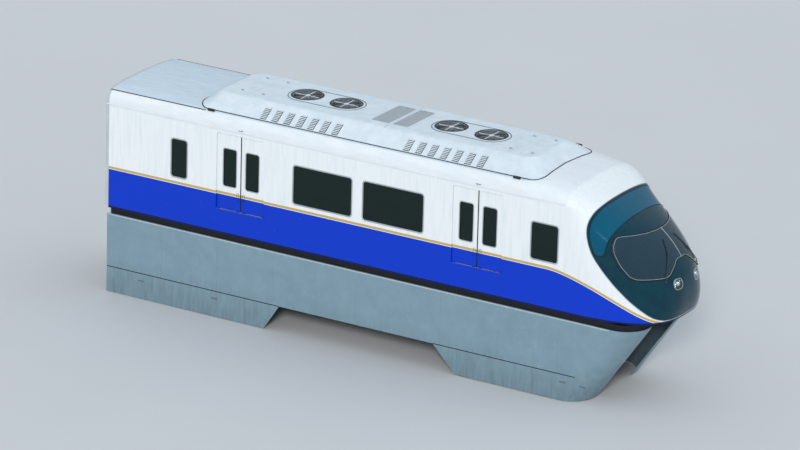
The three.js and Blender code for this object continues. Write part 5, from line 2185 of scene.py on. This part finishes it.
@dataclass
class WheelForm:
    """The finer forms of the three kinds of rubber wheel."""

    tyre_radius: float = 0.490
    tyre_half: float = 0.140
    rim: float = 0.290
    guide_radius: float = 0.362
    sides: int = 72

    def running_tyre(self) -> Shape:
        """A running tyre about the third axis, with its tread grooves.

        Returns:
            The tyre.
        """
        r, h, rim = self.tyre_radius, self.tyre_half, self.rim
        groove = 0.012
        outer = []
        for place in (-0.085, -0.032, 0.032, 0.085):
            outer += [
                (r, place - 0.009), (r - groove, place - 0.005), (r - groove, place + 0.005),
                (r, place + 0.009),
            ]
        side = [
            (r - 0.006, 0.110), (r - 0.030, 0.126), (r - 0.055, 0.136), (r - 0.100, h),
            (r - 0.140, h - 0.002), (rim + 0.030, h - 0.010), (rim + 0.008, h - 0.012), (rim, h - 0.020),
        ]
        profile = [(a, -b) for a, b in reversed(side)] + outer + side
        tyre = Shape.turned(
            [(rim - 0.004, -h + 0.03)] + profile + [(rim - 0.004, h - 0.03)], self.sides, True,
        )
        lug = Shape.block((r - 0.012, -0.008, 0.096), (r - 0.0005, 0.008, 0.124), 0.002, 1)
        lugs = lug.placed(*around(self.sides, 180 / self.sides))
        return tyre.add(lugs).add(lugs, [turn(180, "X")])

    def running_rim(self) -> Shape:
        """A dished rim with its bolts, about the third axis; the outer face looks along +z.

        Returns:
            The rim.
        """
        h, rim = self.tyre_half, self.rim
        disc = Shape.turned(
            [
                (rim - 0.003, -h + 0.025), (rim + 0.004, -h + 0.012), (rim - 0.002, -h + 0.008),
                (rim - 0.030, -h + 0.020), (rim - 0.035, -0.02), (0.150, -0.02), (0.120, -0.05),
                (0.120, 0.02), (0.170, 0.035), (0.200, 0.055), (rim - 0.030, 0.050), (rim - 0.024, h - 0.020),
                (rim - 0.002, h - 0.008), (rim + 0.004, h - 0.012), (rim - 0.003, h - 0.025),
            ],
            64, True,
        )
        bolt = Shape.rod((0.145, 0.0, 0.02), (0.145, 0.0, 0.055), 0.012, 6)
        return disc.add(bolt, around(10))

    def side_tyre(self, half: float) -> Shape:
        """The solid tyre of a guide or stabilizing wheel, about the third axis.

        Args:
            half: Half the tyre's width.

        Returns:
            The tyre.
        """
        r = self.guide_radius
        side = [
            (r - 0.004, half - 0.040), (r - 0.012, half - 0.022), (r - 0.035, half - 0.004),
            (r - 0.060, half), (r - 0.105, half - 0.002), (r - 0.120, half - 0.012),
        ]
        outer = []
        for place in (-0.022, 0.022):
            outer += [
                (r, place - 0.007), (r - 0.009, place - 0.004), (r - 0.009, place + 0.004),
                (r, place + 0.007),
            ]
        profile = [(a, -b) for a, b in reversed(side)] + outer + side
        return Shape.turned(profile, self.sides, True)

    def side_rim(self, half: float, spindle: float) -> Shape:
        """A guide wheel's hub with its bolts and spindle.

        Args:
            half: Half the tyre's width.
            spindle: Height of the spindle's top.

        Returns:
            The hub.
        """
        r = self.guide_radius
        hub = Shape.turned(
            [
                (0.0, -half + 0.030), (0.070, -half + 0.030), (0.082, -half + 0.042), (0.150, -half + 0.055),
                (r - 0.135, -half + 0.050), (r - 0.118, -half + 0.020), (r - 0.118, half - 0.020),
                (r - 0.135, half - 0.055), (0.100, half - 0.050), (0.075, half - 0.030),
                (0.046, half - 0.026), (0.045, spindle), (0.0, spindle),
            ],
            56,
        )
        bolt = Shape.rod((0.118, 0.0, -half + 0.038), (0.118, 0.0, -half + 0.056), 0.010, 6)
        return hub.add(bolt, around(8))


@dataclass
class Bogies:
    """Both bogies: frames with their springs and bolts, axles, guide wheels and stabilizers."""

    places: tuple[tuple[str, float], ...] = (("rear", -4.4), ("front", 4.4))
    axle_x: float = 0.75
    axle_z: float = 0.4826
    tyre_y: float = 0.205
    axle_end: float = 0.6197
    side_y: float = 0.790
    guide_x: float = 1.25
    guide_z: float = -0.35
    stabilizer_z: float = -1.10
    legs: tuple[tuple[float, ...], ...] = (  # x, half width, inner and outer y, foot and waist of each leg
        (-1.25, 0.15, 0.65, 0.90, -0.13, 0.10), (1.25, 0.15, 0.65, 0.90, -0.13, 0.10),
        (0.0, 0.16, 0.67, 0.91, -0.89, -0.45),
    )
    spring_y: float = 0.90
    spring_z: float = 0.840

    def build(self) -> None:
        """Makes both bogies."""
        self.form = WheelForm()
        for place, centre in self.places:
            remade(f"bogie_frame_{place}", f"bogie_{place}", STEEL, "frame_steel", 0.006)
            self._springs(place, centre)
            self._frame_fittings(place, centre)
            for letter, along in (("a", -1), ("b", 1)):
                self._axle(place, letter, centre + along * self.axle_x)
                for side in Side:
                    spot = (centre + along * self.guide_x, side.value * self.side_y, self.guide_z)
                    name = f"{place}_{side.word}_{letter}"
                    self._side_wheel(f"guide_wheel_{name}", f"guide_{name}", spot, 0.100)
            for side in Side:
                spot = (centre, side.value * self.side_y, self.stabilizer_z)
                name = f"{place}_{side.word}"
                self._side_wheel(f"stabilizer_{name}", f"stabilizing_{name}", spot, 0.095)

    def _axle(self, place: str, letter: str, x: float) -> None:
        """One axle with its twin tyres, rims, brake disc and end caps.

        Args:
            place: Which bogie.
            letter: Letter of the axle.
            x: Its place along the car.
        """
        node = f"wheelset_{place}_{letter}"
        body = f"axle_{place}_{letter}"
        hub = at(x, 0.0, self.axle_z) @ turn(-90, "X")
        ways = [hub @ at(z=self.tyre_y), hub @ turn(180, "X") @ at(z=self.tyre_y)]
        item = self.form.running_tyre().placed(*ways).piece(f"{node}_tyres", body, TYRE, "tyre", 40.0)
        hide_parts(node)
        self.form.running_rim().placed(*ways).piece(f"{node}_rims", body, RIM)
        shaft = Shape.turned(
            [
                (0.0, -self.axle_end), (0.060, -self.axle_end), (0.085, -self.axle_end + 0.012),
                (0.118, -self.axle_end + 0.05), (0.118, -0.06), (0.200, -0.05), (0.200, 0.05), (0.118, 0.06),
                (0.118, self.axle_end - 0.05), (0.085, self.axle_end - 0.012), (0.060, self.axle_end),
                (0.0, self.axle_end),
            ],
            48,
        )
        cap = Shape.rod((0.095, 0.0, self.axle_end - 0.045), (0.095, 0.0, self.axle_end - 0.018), 0.009, 6)
        for flip in (Matrix(), turn(180, "X")):
            shaft.add(cap, [flip @ way for way in around(6)])
        shaft.placed(hub).piece(f"{node}_shaft", body, AXLE_STEEL)

    def _side_wheel(self, node: str, body: str, spot: Point, half: float) -> None:
        """One upright-axled wheel with its hub and spindle.

        Args:
            node: Name of the wheel's node.
            body: The body that turns with it.
            spot: The wheel's middle.
            half: Half the tyre's width.
        """
        place = Matrix.Translation(spot)
        item = self.form.side_tyre(half).placed(place).piece(f"{node}_tyre", body, TYRE, "tyre", 40.0)
        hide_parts(node)
        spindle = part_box(node)[1].z - spot[2]
        self.form.side_rim(half, spindle).placed(place).piece(f"{node}_hub", body, RIM)

    def _springs(self, place: str, centre: float) -> None:
        """Rubber folds of the two air springs, with their top and bottom plates.

        Args:
            place: Which bogie.
            centre: Its place along the car.
        """
        folds, plates = Shape(), Shape()
        profile = [(0.214, -0.150)]
        for middle in (-0.095, 0.0, 0.095):
            profile += [
                (0.214 + 0.034 * math.sin(a), middle - 0.046 * math.cos(a)) for a in row(0.15, 0.35, 9)
            ]
        profile += [(0.214, 0.150), (0.200, 0.150), (0.200, -0.150)]
        ring = Shape.turned(profile, 48, True)
        plate = Shape.turned([(0.20, 0.0), (0.262, 0.0), (0.262, 0.014), (0.20, 0.014)], 48, True)
        for side in Side:
            spot = at(centre, side.value * self.spring_y, self.spring_z)
            folds.add(ring, [spot])
            plates.add(plate, [spot @ at(z=0.152), spot @ at(z=-0.166)])
        folds.piece(f"air_spring_folds_{place}", f"bogie_{place}", RUBBER)
        plates.piece(f"air_spring_plates_{place}", f"bogie_{place}", AXLE_STEEL)

    def _legs(self, flip: Matrix, bolts: Shape, plates: Shape) -> None:
        """Flanges, ribs and bolts on the legs of one side, which hold the guide wheels and the stabilizer.

        Args:
            flip: Places the left side of a bogie at the origin where it belongs.
            bolts: Shape that takes the bolts.
            plates: Shape that takes the plates.
        """
        bolt = Shape.rod((0.0, 0.0, 0.0), (0.0, 0.0, 0.014), 0.013, 6)
        cap = Shape.turned([(0.052, -0.035), (0.080, -0.035), (0.095, 0.004), (0.052, 0.004)], 28, True)
        for x, half_x, inner, outer, foot, waist in self.legs:
            middle, half_y = (inner + outer) / 2, (outer - inner) / 2
            low, high = (x - half_x, inner), (x + half_x, outer)
            outside = rounded_rect((low[0] - 0.03, low[1] - 0.03), (high[0] + 0.03, high[1] + 0.03), 0.02)
            inside = rounded_rect((low[0] + 0.01, low[1] + 0.01), (high[0] - 0.01, high[1] - 0.01), 0.005)
            for rise in (foot, waist):
                plates.add(Shape.ring(outside, inside, View.PLAN, rise, rise + 0.022, 0.004), [flip])
                spots = [
                    (x + a, middle + b) for a in (-half_x - 0.014, half_x + 0.014) for b in (-0.09, 0.0, 0.09)
                ]
                spots += [(x + a, outer + 0.014) for a in (-0.09, 0.0, 0.09)]
                bolts.add(bolt, [flip @ at(a, b, rise + 0.021) for a, b in spots])
            for a in (-0.06, 0.06):
                rib = [
                    (outer - 0.004, foot + 0.03), (outer + half_y * 0.25, foot + 0.03),
                    (outer - 0.004, foot + 0.20),
                ]
                plates.add(Shape.prism(rib, View.FRONT, x + a - 0.006, x + a + 0.006, 0.001), [flip])
            plates.add(cap, [flip @ at(x, self.side_y, foot)])
            spindle = flip @ at(x, self.side_y, foot - 0.033)
            bolts.add(bolt, [spindle @ way @ at(0.062, 0.0, -0.010) for way in around(6)])

    def _frame_fittings(self, place: str, centre: float) -> None:
        """Bolt rows, dampers, brake calipers, motor fins, hoses and collector shoes on one frame.

        Args:
            place: Which bogie.
            centre: Its place along the car.
        """
        bolts, dampers, fins, hoses, shoes = Shape(), Shape(), Shape(), Shape(), Shape()
        bolt = Shape.rod((0.0, 0.0, 0.0), (0.0, 0.0, 0.014), 0.014, 6)
        for side in Side:
            flip = at(centre) @ side.flip
            bolts.add(
                bolt,
                [flip @ at(x, 0.80, z) @ turn(-90, "X") for x in row(-1.36, 0.17, 17) for z in (0.43, 0.61)],
            )
            bolts.add(
                bolt, [flip @ at(x, 0.71 + y, 0.639) for x in row(-1.36, 0.34, 9) for y in (-0.06, 0.06)],
            )
            dampers.add(Shape.rod((-0.40, 0.99, 0.70), (-0.40, 0.99, 1.00), 0.032, 20), [flip])
            dampers.add(Shape.rod((-0.40, 0.99, 0.58), (-0.40, 0.99, 0.80), 0.045, 20), [flip])
            dampers.add(Shape.block((-0.44, 0.78, 0.56), (-0.36, 1.04, 0.60), 0.006), [flip])
            motor = at(side.value * 0.68, 0.955, 0.50) @ turn(90, "Y")
            fin = Shape.turned([(0.150, 0.0), (0.181, 0.0), (0.181, 0.006), (0.150, 0.006)], 40, True)
            fins.add(fin, [flip @ motor @ at(z=z) for z in row(-0.29, 0.030, 8) + row(0.08, 0.030, 8)])
            for end in (-1, 1):
                caliper = Shape.block(
                    (end * 0.75 - 0.09, 0.0, 0.697), (end * 0.75 + 0.09, 0.052, 0.770), 0.008,
                )
                caliper.add(Shape.rod((end * 0.70, 0.024, 0.736), (end * 0.10, 0.024, 0.736), 0.018, 14))
                dampers.add(caliper, [flip])
                arc = [
                    (end * (0.20 + 0.06 * t), 0.86 + 0.16 * math.sin(t), 0.60 - 0.10 * t)
                    for t in row(0.0, 0.3, 10)
                ]
                hoses.add(Shape.pipe(arc, 0.016, 2), [flip])
                shoe = Shape.block(
                    (end * 0.52 - 0.17, 0.428, -0.765), (end * 0.52 + 0.17, 0.442, -0.675), 0.006,
                )
                shoes.add(shoe, [flip])
            self._legs(flip, bolts, fins)
        bolts.piece(f"bogie_bolts_{place}", f"bogie_{place}", AXLE_STEEL)
        dampers.piece(f"bogie_dampers_{place}", f"bogie_{place}", AXLE_STEEL)
        fins.piece(f"motor_fins_{place}", f"bogie_{place}", STEEL)
        hoses.piece(f"bogie_hoses_{place}", f"bogie_{place}", RUBBER)
        shoes.piece(f"collector_shoes_{place}", f"bogie_{place}", BRUSHED)


@dataclass(frozen=True)
class Cushion:
    """One crowned seat cushion with piping round its seam."""

    low: Point
    high: Point
    crown: float = 0.03

    def shape(self) -> Shape:
        """The cushion: a soft block whose faces swell in the middle, with faint creases.

        Returns:
            The cushion.
        """
        lowest, highest = Vector(self.low), Vector(self.high)
        size = highest - lowest
        edge = min(size) * 0.32
        block = Shape.block(
            tuple(lowest + Vector((self.crown,) * 3) * 0.3), tuple(highest - Vector((self.crown,) * 3) * 0.3),
            edge, 5,
        )
        bmesh.ops.subdivide_edges(block.bm, edges=block.bm.edges, cuts=3, use_grid_fill=True)
        middle = (lowest + highest) / 2
        for corner in block.bm.verts:
            share = [(corner.co[axis] - middle[axis]) / (size[axis] / 2) for axis in range(3)]
            for axis in range(3):
                others = [share[other] for other in range(3) if other != axis]
                swell = (1 - others[0] ** 2) * (1 - others[1] ** 2)
                crease = 0.0025 * math.sin(70 * corner.co.x) * math.cos(55 * corner.co.y)
                limit = size[axis] / 2 - 0.001
                moved = share[axis] * size[axis] / 2 * (1 + 0.3 * self.crown / size[axis] * swell * 2)
                corner.co[axis] = middle[axis] + max(-limit, min(limit, moved + crease * swell * share[axis]))
        return block

    def piping(self, plane: str = "Z", place: float = 0.72) -> Shape:
        """The cord sewn round the cushion, on a plane across one axis.

        Args:
            plane: The axis that the plane lies across.
            place: The plane's place on that axis, 0 to 1 through the cushion.

        Returns:
            The cord.
        """
        lowest, highest = Vector(self.low), Vector(self.high)
        axis = "XYZ".index(plane)
        a, b = [other for other in range(3) if other != axis]
        inset = self.crown * 0.34
        outline = rounded_rect(
            (lowest[a] + inset, lowest[b] + inset), (highest[a] - inset, highest[b] - inset),
            min(highest[a] - lowest[a], highest[b] - lowest[b]) * 0.18,
        )
        points = []
        for first, second in outline:
            point = [0.0, 0.0, 0.0]
            point[a], point[b] = first, second
            point[axis] = lowest[axis] + (highest[axis] - lowest[axis]) * place
            points.append(tuple(point))
        return Shape.pipe(points, 0.004, 2, True)


@dataclass
class Saloon:
    """Floor, benches and straps in the saloon, with lamps and air grilles under its ceiling."""

    bench: Pair = (5.10, 8.36)
    back: float = 1.3897
    seats: int = 6
    lamp_y: float = 0.62
    strap_y: float = 0.70
    poles: tuple[float, ...] = (4.80, 6.75, 8.60, 10.80)

    def build(self) -> None:
        """Makes everything in the saloon."""
        for side in Side:
            self._bench(side)
        self._floor()
        self._ceiling()
        self._straps()

    def _bench(self, side: Side) -> None:
        """One long bench: shell, seat cushions and back cushions.

        Args:
            side: Which side of the car.
        """
        start, end = map(station, self.bench)
        back = self.back
        outline = [
            (back - 0.060, 1.152), (back - 0.002, 1.152), (back - 0.002, 1.655), (back - 0.022, 1.655),
            (back - 0.030, 1.520), (back - 0.425, 1.510), (back - 0.440, 1.500), (back - 0.375, 1.482),
            (back - 0.330, 1.192), (back - 0.060, 1.192),
        ]
        shell = Shape.prism(outline, View.FRONT, start + 0.002, end - 0.002, 0.004)
        item = shell.placed(side.flip).piece(f"bench_{side.word}_shell", CAR, SEAT_SHELL)
        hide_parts(f"bench_{side.word}")
        piping = Shape()
        step = (end - start) / self.seats
        for index, x in enumerate(row(start, step, self.seats)):
            seat = Cushion((x + 0.006, back - 0.440, 1.512), (x + step - 0.006, back - 0.092, 1.600))
            rest = Cushion((x + 0.006, back - 0.090, 1.560), (x + step - 0.006, back - 0.024, 1.660), 0.02)
            for kind, cushion in (("seat", seat), ("back", rest)):
                made = cushion.shape().placed(side.flip)
                name = f"bench_{side.word}_{kind}_{index + 1}"
                made.piece(name, CAR, SEAT_CLOTH, "seat_fabric", 60.0)
            piping.add(seat.piping(), [side.flip])
        piping.piece(f"bench_{side.word}_piping", CAR, DRIVER_CLOTH)

    def _floor(self) -> None:
        """Ribbed floor sheet with a mat in each doorway."""
        floor = Shape.block(
            (station(0.10), -1.385, FLOOR + 0.0003), (station(11.93), 1.385, FLOOR + 0.004), 0.001,
        )
        floor.piece("floor_sheet", CAR, VINYL)
        mats = Shape()
        for x in map(station, DOORWAYS.values()):
            mats.add(
                Shape.block((x - 0.60, 0.90, FLOOR + 0.0035), (x + 0.60, 1.30, FLOOR + 0.008), 0.002), BOTH,
            )
        mats.piece("door_mats", CAR, MAT)

    def _ceiling(self) -> None:
        """Two rows of lamps and a line of air grilles under the ceiling."""
        lamps, bezels, grilles = Shape(), Shape(), Shape()
        y = self.lamp_y
        for x in map(station, row(0.9, 1.25, 9)):
            lamps.add(Shape.block((x - 0.50, y - 0.06, 3.268), (x + 0.50, y + 0.06, 3.290), 0.008), BOTH)
            outer = rounded_rect((x - 0.525, y - 0.085), (x + 0.525, y + 0.085), 0.03)
            inner = rounded_rect((x - 0.502, y - 0.062), (x + 0.502, y + 0.062), 0.02)
            bezels.add(Shape.ring(outer, inner, View.PLAN, 3.262, 3.345, 0.004), BOTH)
            for start in row(x - 0.30, 0.04, 16):
                grilles.add(Shape.block((start, -0.09, 3.300), (start + 0.010, 0.09, 3.325), 0.003))
        lamps.piece("ceiling_lamps", CAR, CEILING_GLOW, "lamp")
        bezels.piece("ceiling_bezels", CAR, LINING_WHITE)
        grilles.piece("ceiling_grilles", CAR, SILVER)

    def _straps(self) -> None:
        """Hanging strap handles along the two grab rails, clear of the poles."""
        belts, rings = Shape(), Shape()
        y = self.strap_y
        belt = Shape()
        for low, high, half_x, bottom, top, bevel in (
            (-0.026, -0.022, 0.014, 2.70, 2.91, 0.002), (0.022, 0.026, 0.014, 2.70, 2.91, 0.002),
            (-0.028, 0.028, 0.016, 2.905, 2.925, 0.004),
        ):
            belt.add(Shape.block((-half_x, y + low, bottom), (half_x, y + high, top), bevel, 1))
        ring = Shape.pipe(
            [(0.0, y + across, 2.640 + up) for up, across in circle(0.062, 20)], 0.0075, 2, True,
        )
        ring.add(Shape.block((-0.016, y - 0.027, 2.690), (0.016, y + 0.027, 2.712), 0.004, 1))
        for x in row(2.95, 0.36, 22):
            if min(abs(x - pole) for pole in self.poles) >= 0.12:
                places = [flip @ at(station(x)) for flip in BOTH]
                belts.add(belt, places)
                rings.add(ring, places)
        belts.piece("strap_belts", CAR, DRIVER_CLOTH)
        rings.piece("strap_rings", CAR, SEAT_SHELL)


@dataclass
class Cab:
    """The driver's desk with its controls, the seat, and the partition's pane."""

    seat_x: float = station(12.50)
    lever_y: float = 0.30

    def build(self) -> None:
        """Makes the desk, seat and pane."""
        remade("driver_desk", CAR, DESK, "desk", 0.02)
        self._controls()
        self._seat()
        opening = Opening(-1.15, 0.15, 2.0, 2.85, 0.06)
        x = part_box("cab_partition")[0].x
        pane = Shape.prism(opening.outline(-0.001), View.FRONT, x + 0.015, x + 0.025, 0.002)
        pane.piece("partition_pane", CAR, WINDOW_GLASS, "window_glass")
        seal = opening.ring(0.012, -0.010, x - 0.004, x - 0.0003, 0.002, View.FRONT)
        seal.add(opening.ring(0.012, -0.010, x + 0.0403, x + 0.044, 0.002, View.FRONT))
        seal.piece("partition_seal", CAR, RUBBER)

    def _controls(self) -> None:
        """Screens, levers and buttons on the desk."""
        screens, bezels, levers, buttons = Shape(), Shape(), Shape(), Shape()
        bezel = Shape.block((-0.02, -0.17, -0.11), (0.02, 0.17, 0.12), 0.012)
        bezel.add(Shape.block((-0.012, -0.05, -0.15), (0.012, 0.05, -0.08), 0.005))
        stands = [at(station(13.30), y, 1.900) @ turn(-20.0, "Y") for y in (-0.42, 0.0, 0.42)]
        bezels.add(bezel, stands)
        screens.add(Shape.block((-0.0235, -0.150, -0.085), (-0.0190, 0.150, 0.100), 0.002), stands)
        knob = Shape.turned([(0.0, -0.030), (0.018, -0.026), (0.026, 0.0), (0.018, 0.026), (0.0, 0.030)], 18)
        for y in (-self.lever_y, self.lever_y):
            levers.add(Shape.rod((station(13.08), y, 1.760), (station(13.05), y, 1.880), 0.009, 12))
            levers.add(knob, [at(station(13.05), y, 1.895)])
        button = Shape.turned(
            [(0.0, -0.004), (0.011, -0.004), (0.011, 0.006), (0.008, 0.009), (0.0, 0.009)], 14,
        )
        tilt = at(station(13.14), 0.0, 1.780) @ turn(-7.0, "Y")
        for y in row(-0.60, 0.08, 16):
            if abs(abs(y) - self.lever_y) > 0.05:
                buttons.add(button, [tilt @ at(0.0, y, 0.0)])
        screens.piece("desk_screens", CAR, SCREEN_OFF)
        bezels.piece("desk_bezels", CAR, DESK)
        levers.piece("desk_levers", CAR, SCREEN_OFF)
        buttons.piece("desk_buttons", CAR, SEAT_SHELL)

    def _seat(self) -> None:
        """The driver's seat on its pedestal."""
        x = self.seat_x
        base = Shape.turned(
            [
                (0.0, 1.1503), (0.155, 1.1503), (0.150, 1.172), (0.075, 1.186), (0.069, 1.20), (0.069, 1.545),
                (0.0, 1.545),
            ],
            32,
        )
        base.move(at(x=x))
        base.add(Shape.block((x - 0.20, -0.20, 1.535), (x + 0.20, 0.20, 1.562), 0.008))
        base.add(Shape.block((x - 0.285, -0.16, 1.56), (x - 0.262, 0.16, 2.05), 0.008))
        item = base.piece("driver_seat_base", CAR, STEEL)
        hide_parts("driver_seat")
        cushions = {
            "seat": Cushion((x - 0.195, -0.238, 1.558), (x + 0.238, 0.238, 1.650), 0.03),
            "back": Cushion((x - 0.262, -0.228, 1.652), (x - 0.201, 0.228, 2.040), 0.02),
            "head": Cushion((x - 0.262, -0.150, 2.050), (x - 0.201, 0.150, 2.228), 0.02),
        }
        piping = Shape()
        for kind, cushion in cushions.items():
            made = cushion.shape().piece(f"driver_seat_{kind}", CAR, DRIVER_CLOTH, "seat_fabric", 60.0)
            piping.add(cushion.piping("Z" if kind == "seat" else "X"))
        piping.piece("driver_seat_piping", CAR, SEAT_CLOTH)


def main() -> None:
    """Builds the studio and every sub-assembly of the car."""
    logging.basicConfig(level=logging.INFO, format="%(message)s")
    builders = [
        Studio(), BodyShell(), SideWindows(), SlidingDoors(), Nose(), RoofUnits(), Skirts(), Gangway(),
        Underfloor(), Bogies(), Saloon(), Cab(),
    ]
    for builder in builders:
        log.info("building %s", type(builder).__name__)
        builder.build()


if __name__ == "__main__":
    main()
